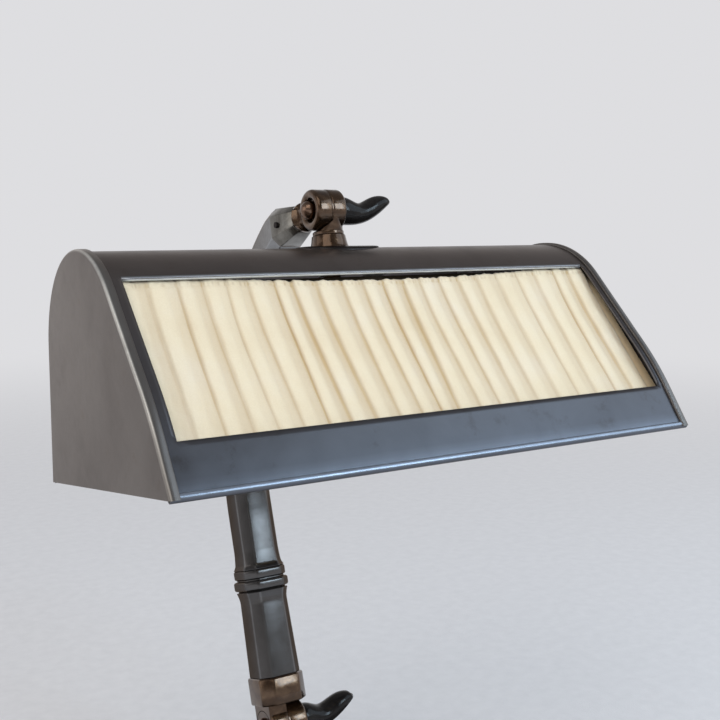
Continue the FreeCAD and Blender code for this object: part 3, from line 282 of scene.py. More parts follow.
def shells(*grids, capped=()):
    """Grids whose columns close on themselves, laid into one shape; those that capped counts, from 0, get a
    flat face at both ends."""
    parts = [net(grid, closed=True, ends=number in capped) for number, grid in enumerate(grids)]
    starts = np.cumsum([0] + [len(points) for points, _ in parts])
    faces = [[corner + int(start) for corner in face]
             for (_, some), start in zip(parts, starts) for face in some]
    return np.concatenate([points for points, _ in parts]), faces


def made(name, body, finish, shape, place, stands_for=(), crisp=38.0, outwards=True, marks=None):
    """Mesh piece at the origin from (points, faces) put in place: doubles merged, faces turned outwards,
    edges sharper than crisp degrees left hard. marks is a number, or one for each point, of wear and painted
    light, kept as the attribute wear_and_painted_light."""
    points, faces = shape
    mesh = bpy.data.meshes.new(name)
    mesh.from_pydata(place(points).tolist(), [], faces)
    if marks is not None:
        wear_and_painted_light = np.zeros(len(points), np.float32) + np.ravel(marks).astype(np.float32)
        mesh.attributes.new("wear_and_painted_light", "FLOAT", "POINT").data.foreach_set("value", wear_and_painted_light)
    work = bmesh.new()
    work.from_mesh(mesh)
    bmesh.ops.remove_doubles(work, verts=work.verts, dist=2e-6)
    if outwards:
        bmesh.ops.recalc_face_normals(work, faces=work.faces)
    work.to_mesh(mesh)
    work.free()
    mesh.shade_smooth()
    mesh.set_sharp_from_angle(angle=math.radians(crisp))
    mesh.materials.append(finish)
    piece = bpy.data.objects.new(name, mesh)
    bpy.context.scene.collection.objects.link(piece)
    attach(piece, body)
    if stands_for:
        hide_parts(*stands_for)
    return piece


def thickened(piece, thick):
    """Gives a sheet its thickness, in millimetres, on the inner side."""
    wall = piece.modifiers.new("thickness", "SOLIDIFY")
    wall.thickness, wall.offset, wall.use_even_offset = thick / 1000.0, -1.0, True


def height_between(tree, start, end):
    """0 below the height start and 1 above the height end, in metres of the piece's own coordinates."""
    parts = tree.nodes.new("ShaderNodeSeparateXYZ")
    tree.links.new(tree.nodes.new("ShaderNodeTexCoord").outputs["Object"], parts.inputs["Vector"])
    return between(tree, parts.outputs["Z"], 0.0, 1.0, start, end)


def dark_steel(name, deep, middle, light, wear_and_painted_light, rough=(0.28, 0.38), warm=None, edge=(0.80, 0.76, 0.74),
               coat=0.12):
    """Blackened steel: a faint cloudy patina, sparse brown stains, fine rubbing marks along X, and bare
    brighter metal of the colour wear_and_painted_light where the attribute of that name is high: wear polished
    by hands, and on the shade's edges a painted highlight. warm is a height in metres about which the patina
    turns browner above, where dirt has settled, and bluish below, a painted cool reflection of the lamps."""
    finish, tree, shader = blank_finish(name, Metallic=0.88, Coat_Weight=coat, Coat_Roughness=0.2, IOR=1.6,
                                        Specular_Tint=(*edge, 1.0))
    cloud = grain(tree, 22.0, 6.0, 0.55, twist=0.4)
    stain = grain(tree, 70.0, 8.0, 0.7)
    rub = grain(tree, 420.0, 3.0, 0.6, squeeze=(0.05, 1.0, 1.0))
    patina = tints(tree, cloud, (0.30, deep), (0.50, middle), (0.72, light))
    spots = tints(tree, stain, (0.31, (0.74, 0.68, 0.62)), (0.43, white), (0.8, (1.04, 1.04, 1.05)))
    shaded = stained(tree, patina, spots, 0.6)
    if warm is not None:
        dust_and_blue_sheen = tints(tree, height_between(tree, warm - 0.09, warm + 0.03), (0.0, (0.74, 0.86, 1.06)),
                     (1.0, (1.04, 0.92, 0.85)))
        shaded = stained(tree, shaded, dust_and_blue_sheen)
    mark = tree.nodes.new("ShaderNodeAttribute")
    mark.attribute_name = "wear_and_painted_light"
    patchy = worked(tree, "MULTIPLY", mark.outputs["Fac"],
                    between(tree, grain(tree, 110.0, 4.0, 0.55), 0.78, 1.0, 0.3, 0.6))
    bare_and_highlight = tints(tree, rub, (0.3, tuple(0.9 * part for part in wear_and_painted_light)), (0.7, wear_and_painted_light))
    tree.links.new(blended(tree, patchy, shaded, bare_and_highlight), shader.inputs["Base Color"])
    tree.links.new(between(tree, stain, *rough), shader.inputs["Roughness"])
    relief(tree, shader, (cloud, 0.00018), (stain, 0.00003), (rub, 0.000016))
    return finish


# The shade's patina turns bluish below the crown, a painted cool reflection, and browner on the crown where
# dirt has settled; its bluish bare colour is also a painted reflection of the cool lamps.
shade_steel = dark_steel("shade_steel", (0.108, 0.103, 0.101), (0.127, 0.122, 0.120), (0.144, 0.140, 0.139),
                         (0.46, 0.54, 0.66), warm=0.33)

wire_place, wire_radius = np.array([2.876, 0.597]), 2.0
wire_out, wire_up = np.array([-0.8988, 0.4384]), np.array([0.4384, 0.8988])
roll_turn = np.radians(np.linspace(-278.0, 55.8, 34))
rolled_edge = wire_place + wire_radius * (np.cos(roll_turn)[:, None] * wire_out
                                          + np.sin(roll_turn)[:, None] * wire_up)
window_low, window_high, window_left, window_right = 25.8, 115.6, 10.0, 291.5
hem_start, hem_lean = 309.6, math.radians(169.5)
below_window = np.linspace(3.6, window_low, 9)[:-1]
window_walk = np.linspace(window_low, window_high, 30)
face_walk = np.concatenate([below_window, window_walk, np.linspace(window_high, hem_start, 76)[1:]])
hem_turn = np.linspace(0.0, np.pi, 9)[1:]
hem_end = section(hem_start, 2.02)
hem_out = section(hem_start, cap_rim) - hem_end
hem_down = np.array([math.sin(hem_lean), math.cos(hem_lean)])
hem_fold = hem_end + np.cos(hem_turn)[:, None] * hem_out + 0.82 * np.sin(hem_turn)[:, None] * hem_down
hem_rise = section(hem_start, 2.84) - np.linspace(1.0, 6.0, 4)[:, None] * hem_down
sheet_profile = np.concatenate([rolled_edge, section(face_walk, cap_rim), hem_fold, hem_rise])
sheet_x = np.concatenate([[1.0, 3.0, 5.5, 8.0], np.linspace(window_left, window_right, 50),
                          [294.5, 297.0, 299.0]])
sheet_points, sheet_faces = net(along_shade(sheet_x, sheet_profile))
middle_x = sheet_points[np.array(sheet_faces)].mean(1)[:, 0]
column = np.tile(np.arange(len(sheet_profile) - 1), len(sheet_x) - 1) - len(rolled_edge) - len(below_window)
in_window = ((middle_x > window_left) & (middle_x < window_right)
             & (column >= 0) & (column < len(window_walk) - 1))
kept_faces = np.array(sheet_faces)[~in_window][:, ::-1].tolist()
# The rolled edge is brightened along its upper front and not beneath it: wear, and a painted highlight.
edge_wear_and_highlight = np.zeros((len(sheet_x), len(sheet_profile)))
edge_wear_and_highlight[:, :len(rolled_edge)] = np.interp(np.degrees(roll_turn), [-62, -30, 2, 28, 55.8],
                                            [0.0, 0.12, 0.7, 0.95, 0.4])
edge_wear_and_highlight[:, len(rolled_edge):len(rolled_edge) + 2] = (0.15, 0.05)
shade_sheet = made("shade_sheet", "shade", shade_steel, (sheet_points, kept_faces), hung,
                   ("shade_shell",), outwards=False, marks=edge_wear_and_highlight)
thickened(shade_sheet, 0.8)

lip_turn = np.radians(np.linspace(0.0, 90.0, 7))
lip_walk = np.concatenate([[117.6], 116.25 - 0.75 * np.sin(lip_turn), [115.5, 115.5]])
lip_depth = np.concatenate([[1.16], 1.91 - 0.75 * np.cos(lip_turn), [2.2, 2.7]])
lip_grid = along_shade(np.linspace(10.3, 291.2, 50), section(lip_walk, lip_depth))
# The lip's rounded edge takes lip_steel's bright bluish colour all along: a painted highlight.
lip_glint = np.zeros(lip_grid.shape[:2])
lip_glint[:, 1:10] = (0.6, 1.0, 1.0, 1.0, 1.0, 1.0, 1.0, 0.9, 0.5)
lip_steel = dark_steel("lip_steel", (0.090, 0.090, 0.095), (0.11, 0.11, 0.12), (0.13, 0.13, 0.14),
                       (0.84, 0.92, 1.0), rough=(0.34, 0.46))
window_lip = made("window_lip", "shade", lip_steel, net(lip_grid), hung, outwards=False,
                  marks=lip_glint)
thickened(window_lip, 0.6)


# ------------------------------------------------------------------ shade: end caps
# Pressed D-shaped plates, whose rounded rims are folded over the ends of the sheet and soldered.
# The rims are rubbed bright and carry a painted highlight along their edges, most where the front leans back.
def cap_shape(mirrored):
    """Closed profile (distance in, depth under the outline) of the plate, its rounded edge and its rim,
    carried along the arch; the plate runs straight down from the arch to the bottom. Also the wear and
    painted highlight of each point."""
    round_turn, round_radius = np.radians(np.linspace(0.0, 90.0, 9)), 1.9
    reach = np.concatenate([round_radius - round_radius * np.cos(round_turn), [4.75, 5.0, 5.0, 1.35, 1.1]])
    depth = np.concatenate([round_radius - round_radius * np.sin(round_turn),
                            [0.0, 0.25, cap_rim, cap_rim, 1.45]])
    steps = np.concatenate([np.linspace(0, 24, 10)[:-1], np.linspace(24, 113, 34)[:-1],
                            np.linspace(113, 237, 70)[:-1], np.linspace(237, outline_end, 26)])
    share = steps / steps[-1]
    front_cut, back_cut = math.tan(math.radians(26.0)), math.tan(math.radians(10.5))
    walked = share[:, None] * (outline_end - depth * (front_cut + back_cut)) + depth * front_cut
    rim = section(walked, np.broadcast_to(depth, walked.shape))
    rim = np.concatenate([np.broadcast_to(reach, walked.shape)[..., None], rim], -1)
    grid = np.concatenate([rim[:, :1] * [1, 1, 0], rim, rim[:, -1:] * [1, 1, 0]], 1)
    grid[..., 2] = np.maximum(grid[..., 2], 0.0)
    wear_and_painted_light = np.zeros(grid.shape[:2])
    wear_and_painted_light[:, 3:10] = (0.1, 0.45, 0.9, 1.0, 0.8, 0.35, 0.1)
    wear_and_painted_light *= np.interp(steps, [0, 25, 60, 90, 135, 175, 235], [0.12, 0.25, 0.8, 1.0, 1.0, 0.35, 0.6])[:, None]
    if mirrored:
        grid[..., 0] = shade_length - grid[..., 0]
    return shells(grid, capped=[0]), wear_and_painted_light


plate_steel = dark_steel("plate_steel", (0.124, 0.113, 0.106), (0.150, 0.138, 0.130), (0.174, 0.162, 0.153),
                         (0.90, 0.90, 0.87), edge=(0.84, 0.78, 0.74))
for hand, mirrored in (("left", False), ("right", True)):
    cap, rim_wear_and_highlight = cap_shape(mirrored)
    made("end_plate_" + hand, "shade", plate_steel, cap, hung, ("end_cap_" + hand,),
         crisp=50.0, marks=rim_wear_and_highlight)


# ------------------------------------------------------------------ window: pleated cloth
# One strip of cream cotton, laid in soft pleats of uneven width, folded over a wire at its top edge and sewn
# to the frame. Each pleat starts with a steep raised fold and sinks by a shelf to the next. The shelves, the
# valleys and the gathers under the top edge are darkened with painted shade.
panel_foot = np.array([19.164, 20.527])
panel_lean = math.radians(33.5292)
panel_up = np.array([math.sin(panel_lean), math.cos(panel_lean)])
panel_out = np.array([-math.cos(panel_lean), math.sin(panel_lean)])
cloth_left, cloth_width, cloth_top = 9.0, 282.2, 88.6


def on_panel(x, up, out):
    """Point from a distance x along the shade, up the window's panel and out from its face."""
    x, up, out = [part[..., None] for part in np.broadcast_arrays(x, up, out)]
    return np.concatenate([x, panel_foot + up * panel_up + out * panel_out], -1)


chance = np.random.default_rng(7)
pleats = 22
pleat_widths = 1.0 + 0.15 * chance.uniform(-1, 1, pleats)
pleat_starts = cloth_left + cloth_width * np.concatenate([[0], np.cumsum(pleat_widths)]) / pleat_widths.sum()
up_panel = np.concatenate([[-5.5, -5.45, -5.4], np.linspace(-5.2, 76.0, 36),
                           np.linspace(77.2, cloth_top, 22)])
height_share = np.clip(up_panel / cloth_top, 0.0, 1.0)
# one pleat from valley to valley: share of its width along X, depth under its ridge in millimetres, and
# painted shade
fold_x, fold_depth, fold_shade = np.array([
    (0.0, 1.14, 1.0), (0.025, 1.02, 0.90), (0.05, 0.76, 0.62), (0.08, 0.45, 0.30), (0.115, 0.22, 0.10),
    (0.16, 0.08, 0.0), (0.23, 0.0, 0.0), (0.33, 0.02, 0.0), (0.43, 0.07, 0.04), (0.50, 0.16, 0.12),
    (0.56, 0.34, 0.28), (0.62, 0.54, 0.42), (0.68, 0.67, 0.50), (0.76, 0.74, 0.52), (0.84, 0.82, 0.58),
    (0.90, 0.94, 0.74), (0.95, 1.07, 0.92)]).T
flat_from = 9  # from this column on the last pleat lies flat, to the cloth's clean edge
slip = chance.normal(0.0, 1.0, (4, pleats + 1))
slip[:, 0] = slip[:, -1] = 0.0
wander = (slip[0][:, None] * 0.40 * np.sin(np.pi * height_share) + slip[3][:, None] * (height_share - 0.5)
          + slip[1][:, None] * 0.10 * np.sin(2.4 * np.pi * height_share + slip[2][:, None]))
wander = wander + np.linspace(0.0, 1.0, pleats + 1)[:, None] ** 4 * 2.6 * height_share
edges = pleat_starts[:, None] + wander
deepness = 0.80 + 0.22 * np.clip(slip[2][:-1, None], -1.4, 2.0)
deepness = deepness * (0.72 + 0.55 * np.sin(np.pi * np.clip(1.05 - height_share, 0, 1) ** 0.7))
deepness = deepness * np.interp(up_panel, [78.0, 83.0, 85.5, cloth_top], [1.0, 0.85, 0.5, 0.6])
span = edges[1:] - edges[:-1]
shelf = 1.0 + 0.28 * np.clip(slip[1][:-1, None], -1, 1) * np.exp(-((fold_x - 0.66) / 0.12) ** 2)
cloth_x = edges[:-1, None, :] + fold_x[None, :, None] * span[:, None, :]
cloth_depth = fold_depth[None, :, None] * deepness[:, None, :] * shelf[:, :, None]
cloth_depth[-1, flat_from:] *= 0.3
cloth_x = np.concatenate([cloth_x.reshape(-1, len(up_panel)), edges[-1:]])
cloth_depth = np.concatenate([cloth_depth.reshape(-1, len(up_panel)), cloth_depth[-1, :1] * 0.3])
along_share = cloth_x / shade_length
crumple = (0.16 * np.sin(0.55 * cloth_x + 0.13 * up_panel) * np.sin(0.16 * up_panel + 0.17 * cloth_x)
           + 0.05 * np.sin(1.7 * cloth_x - 0.35 * up_panel + 2.0))
gather = np.sin(2.3 * cloth_x + 1.6 * np.sin(0.7 * cloth_x)) + 0.5 * np.sin(4.1 * cloth_x + 0.9)
pucker = np.interp(up_panel, [77.0, 81.5, 85.2, cloth_top], [0.0, 0.16, 0.48, 0.34]) * gather
sagging = np.sin(np.pi * np.clip((along_share - 0.20) / 0.66, 0, 1)) ** 0.8
top_sag = 3.5 * sagging + 0.35 * cloth_depth + 0.40 * np.sin(1.15 * cloth_x) * np.sin(0.31 * cloth_x)
seam = np.exp(-((up_panel - 84.6) / 0.75) ** 2)
cloth_out = -0.25 - cloth_depth + crumple - 0.5 * np.abs(pucker) - 0.34 * seam
cloth_out += np.interp(up_panel, [50.0, cloth_top], [0.0, 1.0]) ** 2 * (2.4 - 0.5 * sagging)
cloth_out -= np.interp(up_panel, [86.2, cloth_top], [0.0, 1.0]) ** 2 * 0.8
cloth_out += (np.clip((cloth_x - 280.0) / 10.0, 0.0, 1.0)
              * np.interp(up_panel, [0.0, 45.0, cloth_top], [0.8, 1.0, 0.0]))
cloth_out[:, :3] += np.array([5.4, 3.4, 1.3]) + cloth_depth[:, :3]
cloth_grid = on_panel(cloth_x, up_panel - height_share ** 7 * top_sag, cloth_out)

pleat_cloth, tree, shader = blank_finish("pleat_cloth", Roughness=0.88, Sheen_Weight=0.25,
                                         Sheen_Roughness=0.45, Specular_IOR_Level=0.25)
weave_place = tree.nodes.new("ShaderNodeUVMap")
weave_place.uv_map = "threads"
waves = []
for direction in ("X", "Y"):
    wave = tree.nodes.new("ShaderNodeTexWave")
    wave.bands_direction = direction
    for socket, value in (("Scale", 0.62), ("Distortion", 0.6), ("Detail", 1.0)):
        wave.inputs[socket].default_value = value
    tree.links.new(weave_place.outputs["UV"], wave.inputs["Vector"])
    waves.append(wave.outputs["Fac"])
ageing = tints(tree, grain(tree, 34.0, 5.0, 0.6), (0.28, (0.843, 0.722, 0.521)), (0.5, (0.872, 0.760, 0.563)),
               (0.75, (0.882, 0.784, 0.618)))
lint = tints(tree, grain(tree, 1500.0, 3.0, 0.7), (0.3, (0.94, 0.93, 0.91)), (0.7, white))
# This mark darkens the cloth's colour: painted shade in its folds.
fold_shade_mark = tree.nodes.new("ShaderNodeAttribute")
fold_shade_mark.attribute_name = "wear_and_painted_light"
groove_shade_tint = tints(tree, fold_shade_mark.outputs["Fac"], (0.0, white), (0.5, (0.845, 0.81, 0.785)),
                    (1.0, (0.71, 0.61, 0.47)))
tree.links.new(stained(tree, stained(tree, ageing, lint), groove_shade_tint), shader.inputs["Base Color"])
relief(tree, shader, (worked(tree, "MAXIMUM", *waves), 0.00006), (grain(tree, 260.0, 4.0), 0.0003))

# Painted shade in the pleats' shelves and valleys, strongest near the middle pleats, and in the top gathers.
pleat_shade_strength = np.clip(0.72 + 0.30 * np.exp(-((np.arange(pleats) - 9.5) / 5.0) ** 2) + 0.22 * slip[2][:-1],
                         0.45, 1.25)
painted_fold_shade = (pleat_shade_strength[:, None, None] * fold_shade[None, :, None]
             * (0.80 + 0.20 * np.sin(np.pi * height_share)))
painted_fold_shade[-1, flat_from:] *= 0.15
painted_fold_shade = np.concatenate([painted_fold_shade.reshape(-1, len(up_panel)), painted_fold_shade[-1, -1:]])
painted_fold_shade = painted_fold_shade + 0.5 * np.exp(-((up_panel - 85.6) / 1.3) ** 2) * np.clip(gather, 0, 1)
cloth_points, cloth_faces = net(cloth_grid)
pleated_cloth = made("pleated_cloth", "shade", pleat_cloth,
                     (cloth_points, [face[::-1] for face in cloth_faces]), hung, ("pleated_fabric",),
                     crisp=180.0, outwards=False, marks=painted_fold_shade)
row_steps = np.median(np.linalg.norm(np.diff(cloth_grid, axis=0), axis=2), 1)
flat_run = np.concatenate([[0], np.cumsum(row_steps)])
thread_map = pleated_cloth.data.uv_layers.new(name="threads")
corner_points = np.zeros(len(pleated_cloth.data.loops), int)
pleated_cloth.data.loops.foreach_get("vertex_index", corner_points)
lain_flat = np.stack(np.broadcast_arrays(flat_run[:, None], up_panel[None, :]), -1).reshape(-1, 2)
thread_map.data.foreach_set("uv", lain_flat[corner_points].astype(np.float32).ravel())
thickened(pleated_cloth, 0.28)


# ------------------------------------------------------------------ window: brass frame and clips
# Brass strip folded into a rectangle, with its corners soldered; it sits behind the window on six steel tabs.
# Its colour is lighter than plain brass, a painted light, and its top is painted near black as painted shade.
def mottled(name, cloud, stops, *bumps, gloss=None, **plain):
    """Finish whose colour follows one noise. cloud and the noise of each bump are what grain takes, a bump's
    second part is its depth in metres, and gloss is the roughness from the noise's hollows to its tops."""
    finish, tree, shader = blank_finish(name, **plain)
    tree.links.new(tints(tree, grain(tree, *cloud), *stops), shader.inputs["Base Color"])
    if gloss:
        tree.links.new(between(tree, grain(tree, *cloud), *gloss), shader.inputs["Roughness"])
    relief(tree, shader, *[(grain(tree, *noise), depth) for noise, depth in bumps])
    return finish


def bright_metal(name, dark, light, gloss, size=60.0, metal=1.0):
    """Plain metal with cloudy tarnish, fine scratches and small pits; gloss is its roughness from tarnished
    to clean."""
    tarnish = (size, 7.0, 0.62, 0.4)
    return mottled(name, tarnish, ((0.32, dark), (0.68, light)), (tarnish, 0.0002),
                   ((900.0, 3.0, 0.6, 0.0, (0.08, 1.0, 1.0)), 0.00002), gloss=gloss, Metallic=metal)


def wears(finish, *nodes):
    """Gives solids that stay as they are a finish in every slot."""
    for node in nodes:
        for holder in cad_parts[node].material_slots:
            holder.material = finish


# Lighter than plain brass: painted light on the strip that shows past the cloth's right end, in the recess.
frame_brass = bright_metal("frame_brass", (0.93, 0.70, 0.42), (1.0, 0.85, 0.59), (0.48, 0.36), metal=0.12)
tree = frame_brass.node_tree
shader = tree.nodes["Principled BSDF"]
clean = shader.inputs["Base Color"].links[0].from_socket
# Its top is painted near black: painted shade in the gap under the window's top edge.
painted_gap_shade = tints(tree, height_between(tree, 0.331, 0.338), (0.0, white), (1.0, (0.05, 0.045, 0.04)))
tree.links.new(stained(tree, clean, painted_gap_shade), shader.inputs["Base Color"])
wears(frame_brass, "window_frame")
tinned_steel = bright_metal("tinned_steel", (0.36, 0.35, 0.34), (0.56, 0.56, 0.55), (0.45, 0.30))
wears(tinned_steel, "frame_clips")


# ------------------------------------------------------------------ upper joint: arm head
# Bronze casting: a flat round eye with a sunk face for the bolt, a ringed neck, and a chamfered block that is
# socketed on the gooseneck and held by a grub screw. The block has a lighter grey copy of the bronze, for
# rubbing and as a painted reflection.
right, back, up = np.eye(3)
arm_axis = np.array(arm_joint)
arm_slope = math.radians(15.5)
arm_out = np.array([0.0, math.cos(arm_slope), -math.sin(arm_slope)])
arm_up = np.array([0.0, math.sin(arm_slope), math.cos(arm_slope)])
arm_eye_radius, arm_eye_left, arm_eye_right = 11.4, -6.0, 3.3


def bend(centre_x, centre_r, radius, first, last, count=7):
    """Arc of a turned profile, as (distance, radius) pairs, between two angles in degrees."""
    turn = np.radians(np.linspace(first, last, count))
    return np.stack([centre_x + radius * np.cos(turn), centre_r + radius * np.sin(turn)], -1)


def turned(profile, start, axis, side, count=72):
    """Surface of revolution: each (distance, radius) pair becomes a ring about the axis through start; side
    is any direction square to the axis."""
    profile = np.asarray(profile, float)
    axis, side = np.asarray(axis, float), np.asarray(side, float)
    other = np.cross(axis, side)
    turn = np.linspace(0.0, 2 * np.pi, count, endpoint=False)
    spoke = np.cos(turn)[:, None] * side + np.sin(turn)[:, None] * other
    return np.asarray(start, float) + profile[:, None, :1] * axis + profile[:, None, 1:] * spoke


def rounded(corners, radius, steps):
    """Outline whose every corner becomes the arc that touches both its sides: its centre lies on the
    bisector, and it turns evenly about that centre."""
    before, after = np.roll(corners, 1, -2) - corners, np.roll(corners, -1, -2) - corners
    before /= np.linalg.norm(before, axis=-1, keepdims=True)
    after /= np.linalg.norm(after, axis=-1, keepdims=True)
    inward = before + after
    half = np.arccos(np.clip((before * after).sum(-1), -1, 1)) / 2
    inward /= np.linalg.norm(inward, axis=-1, keepdims=True)
    radius = np.asarray(radius, float)
    centre = corners + inward * radius / np.sin(half)[..., None]
    swing = (math.pi / 2 - half)[..., None] * np.linspace(-1, 1, steps)
    angle = np.arctan2(-inward[..., 1], -inward[..., 0])[..., None] + swing
    arc = centre[..., None, :] + radius[..., None] * np.stack([np.cos(angle), np.sin(angle)], -1)
    return arc.reshape(corners.shape[:-2] + (-1, 2))


def eight_sided(rounding):
    """Square of width 1 with its corners cut off and every corner rounded."""
    a, b = 0.5, 0.286
    corners = np.array([(a, -b), (a, b), (b, a), (-b, a), (-a, b), (-a, -b), (-b, -a), (b, -a)])
    return rounded(corners, rounding, 4)


def carried(ring, centres, widths, across, front):
    """Ring carried along centres: its first number goes along across and its second along front, both by
    width."""
    widths = np.asarray(widths, float)[:, None, None]
    front = np.broadcast_to(np.asarray(front, float), np.asarray(centres).shape)
    return (np.asarray(centres)[:, None, :] + ring[None, :, :1] * widths * np.asarray(across, float)
            + ring[None, :, 1:] * widths * front[:, None, :])


def aged_bronze(name, dark, middle, light):
    """Browned bronze: a cloudy patina from dark to yellow-grey, and casting grain."""
    finish, tree, shader = blank_finish(name, Metallic=0.9, Coat_Weight=0.55, Coat_Roughness=0.1,
                                        Coat_IOR=1.5)
    cloud = grain(tree, 105.0, 6.0, 0.6, twist=0.5)
    pits = grain(tree, 520.0, 5.0, 0.65)
    tree.links.new(tints(tree, cloud, (0.30, dark), (0.50, middle), (0.70, light)),
                   shader.inputs["Base Color"])
    tree.links.new(between(tree, pits, 0.14, 0.27), shader.inputs["Roughness"])
    relief(tree, shader, (cloud, 0.00012), (pits, 0.00003))
    return finish


def sunk_eye(scale, radius, left, right_face):
    """Turned profile of an eye whose left face is sunk for the bolt, from its middle to its right face."""
    deep = left + 3.0 * scale
    well, rim, mouth = 5.7 * scale, 2.4 * scale, 2.4 * scale
    return np.concatenate([[(deep, 0.0), (deep, well), (deep - 0.5 * scale, well + 0.1 * scale)],
                           bend(left + mouth, 8.6 * scale, mouth, 242, 180, 9),
                           bend(left + rim, radius - rim, rim, 180, 90, 8),
                           bend(right_face - 0.7, radius - 0.7, 0.7, 90, 0, 5), [(right_face, 0.0)]])


joint_bronze = aged_bronze("joint_bronze", (0.046, 0.024, 0.012), (0.088, 0.049, 0.026),
                           (0.155, 0.098, 0.058))
arm_eye = turned(sunk_eye(1.0, arm_eye_radius, arm_eye_left, arm_eye_right), arm_axis, right, up, 96)
ring_profile = np.concatenate([[(5.0, 0.0), (5.0, 6.6)], bend(11.6, 8.0, 1.4, 270, 335, 5),
                               bend(13.9, 7.7, 0.9, 180, 90, 5), bend(15.5, 7.7, 0.9, 90, 0, 5),
                               [(16.45, 7.6), (17.6, 7.6), (17.6, 0.0)]])
ring_grid = turned(ring_profile, arm_axis, arm_out, right)
neck_reach, flat_left, flat_right = 14.6, -5.6, 3.2  # filed flat there, so that the neck clears it
beside = np.linalg.norm(ring_grid[..., 1:] - arm_axis[1:], axis=-1) < neck_reach
ring_grid[..., 0] = np.where(beside, np.clip(ring_grid[..., 0], flat_left, flat_right), ring_grid[..., 0])
made("arm_head_eye", "stem", joint_bronze, shells(arm_eye, ring_grid), stood, ("arm_head",),
     crisp=30.0)
# Lighter grey copy of the joint's bronze for the block: rubbing, and a painted reflection of the bright wall.
rubbed_and_lit_bronze = aged_bronze("rubbed_and_lit_bronze", (0.075, 0.066, 0.054), (0.155, 0.145, 0.125),
                            (0.26, 0.25, 0.225))
block_run = np.array([17.35, 17.35, 17.6, 18.1, 24.0, 30.0, 36.3, 36.8, 37.0, 37.0])
block_width = np.array([0.02, 13.8, 14.6, 15.1, 17.76, 20.27, 22.9, 22.75, 22.2, 0.02])
block_grid = carried(eight_sided(0.08), arm_axis + block_run[:, None] * arm_out, block_width, right, arm_up)
made("arm_head_block", "stem", rubbed_and_lit_bronze, shells(block_grid), stood, crisp=30.0)


# ------------------------------------------------------------------ upper joint: bolt and washer
# Steel bolt with a turned dome head, sunk in the arm's eye and threaded at its other end for the lever; a
# bronze friction washer lies between the eyes.
def domed_bolt(scale, seat, shank, end):
    """Turned profile of a dome head on a round shank."""
    rise, radius, side = 3.5 * scale, 5.1 * scale, seat - 3.9 * scale
    ball = (radius ** 2 + rise ** 2) / (2 * rise)
    edge = math.degrees(math.asin(radius / ball))
    dome = bend(side - rise + ball, 0.0, ball, 180, 180 - edge, 12)
    return np.concatenate([dome, [(side + 0.2, radius), (seat, radius), (seat, shank), (end, shank),
                                  (end, 0.0)]])


bolt_steel = bright_metal("bolt_steel", (0.10, 0.058, 0.040), (0.27, 0.18, 0.13), (0.28, 0.16), size=220.0)
made("head_bolt", "stem", bolt_steel,
     shells(turned(domed_bolt(1.0, -3.0, 3.0, 19.5), arm_axis, right, up, 64)), stood, ("upper_clamp_bolt",))
wears(joint_bronze, "upper_friction_washer", "lower_friction_washer")


# ------------------------------------------------------------------ thumb levers
# Cast levers, black enamelled, threaded on the clamp bolts: a round hub that sweeps out and up to a thin tip.
# Turned, they draw the two eyes of a joint together.
def horn(length, start):
    """Ovals along a rising centre line: place, half width and half thickness are smooth curves through the
    maker's eight stations, and each oval stands square to the centre line."""
    stations = length * np.array([  # run, rise, half width, half thickness
        (0.0, -0.012, 0.220, 0.220), (0.160, -0.026, 0.220, 0.218), (0.343, -0.050, 0.210, 0.186),
        (0.500, -0.027, 0.195, 0.161), (0.634, 0.043, 0.185, 0.160), (0.790, 0.110, 0.165, 0.139),
        (0.907, 0.149, 0.125, 0.091), (0.975, 0.181, 0.076, 0.052)])
    share, fine = np.linspace(0, 1, 8), np.linspace(0, 1, 64)
    curves = np.linalg.lstsq(np.vander(share, 6), stations, rcond=None)[0]
    run, rise, wide, thick = (np.vander(fine, 6) @ curves).T
    close = np.sqrt(np.clip(1 - np.clip((fine - 0.90) / 0.10, 0, 1) ** 2.2, 0, 1))
    start_round = np.sqrt(1 - (1 - np.clip(fine / 0.03, 0, 1)) ** 2) * 0.08 + 0.92
    wide, thick = wide * close * start_round, thick * close * start_round
    line = rise[:, None] * up + run[:, None] * right
    ahead = np.gradient(line, axis=0)
    ahead /= np.linalg.norm(ahead, axis=1)[:, None]
    ahead[:6] = right
    lift = np.cross(ahead, back)
    turn = np.linspace(0, 2 * np.pi, 64, endpoint=False)
    oval = (np.cos(turn)[None, :, None] * wide[:, None, None] * back
            + np.sin(turn)[None, :, None] * thick[:, None, None] * lift[:, None, :])
    return np.asarray(start, float) + line[:, None, :] + oval


lever_black = mottled("lever_black", (170.0, 6.0, 0.65), ((0.35, (0.008, 0.007, 0.007)),
                      (0.64, (0.016, 0.014, 0.013)), (0.80, (0.050, 0.040, 0.033))), ((190.0, 4.0), 0.00025),
                      ((1300.0, 2.0), 0.00002), gloss=(0.09, 0.17), Coat_Weight=0.08, Coat_Roughness=0.06,
                      Specular_IOR_Level=0.17)
made("head_lever", "upper_lever", lever_black,
     shells(horn(34.4, arm_axis + 12.55 * right), capped=[0]), stood, ("upper_thumb_lever",), crisp=60.0)


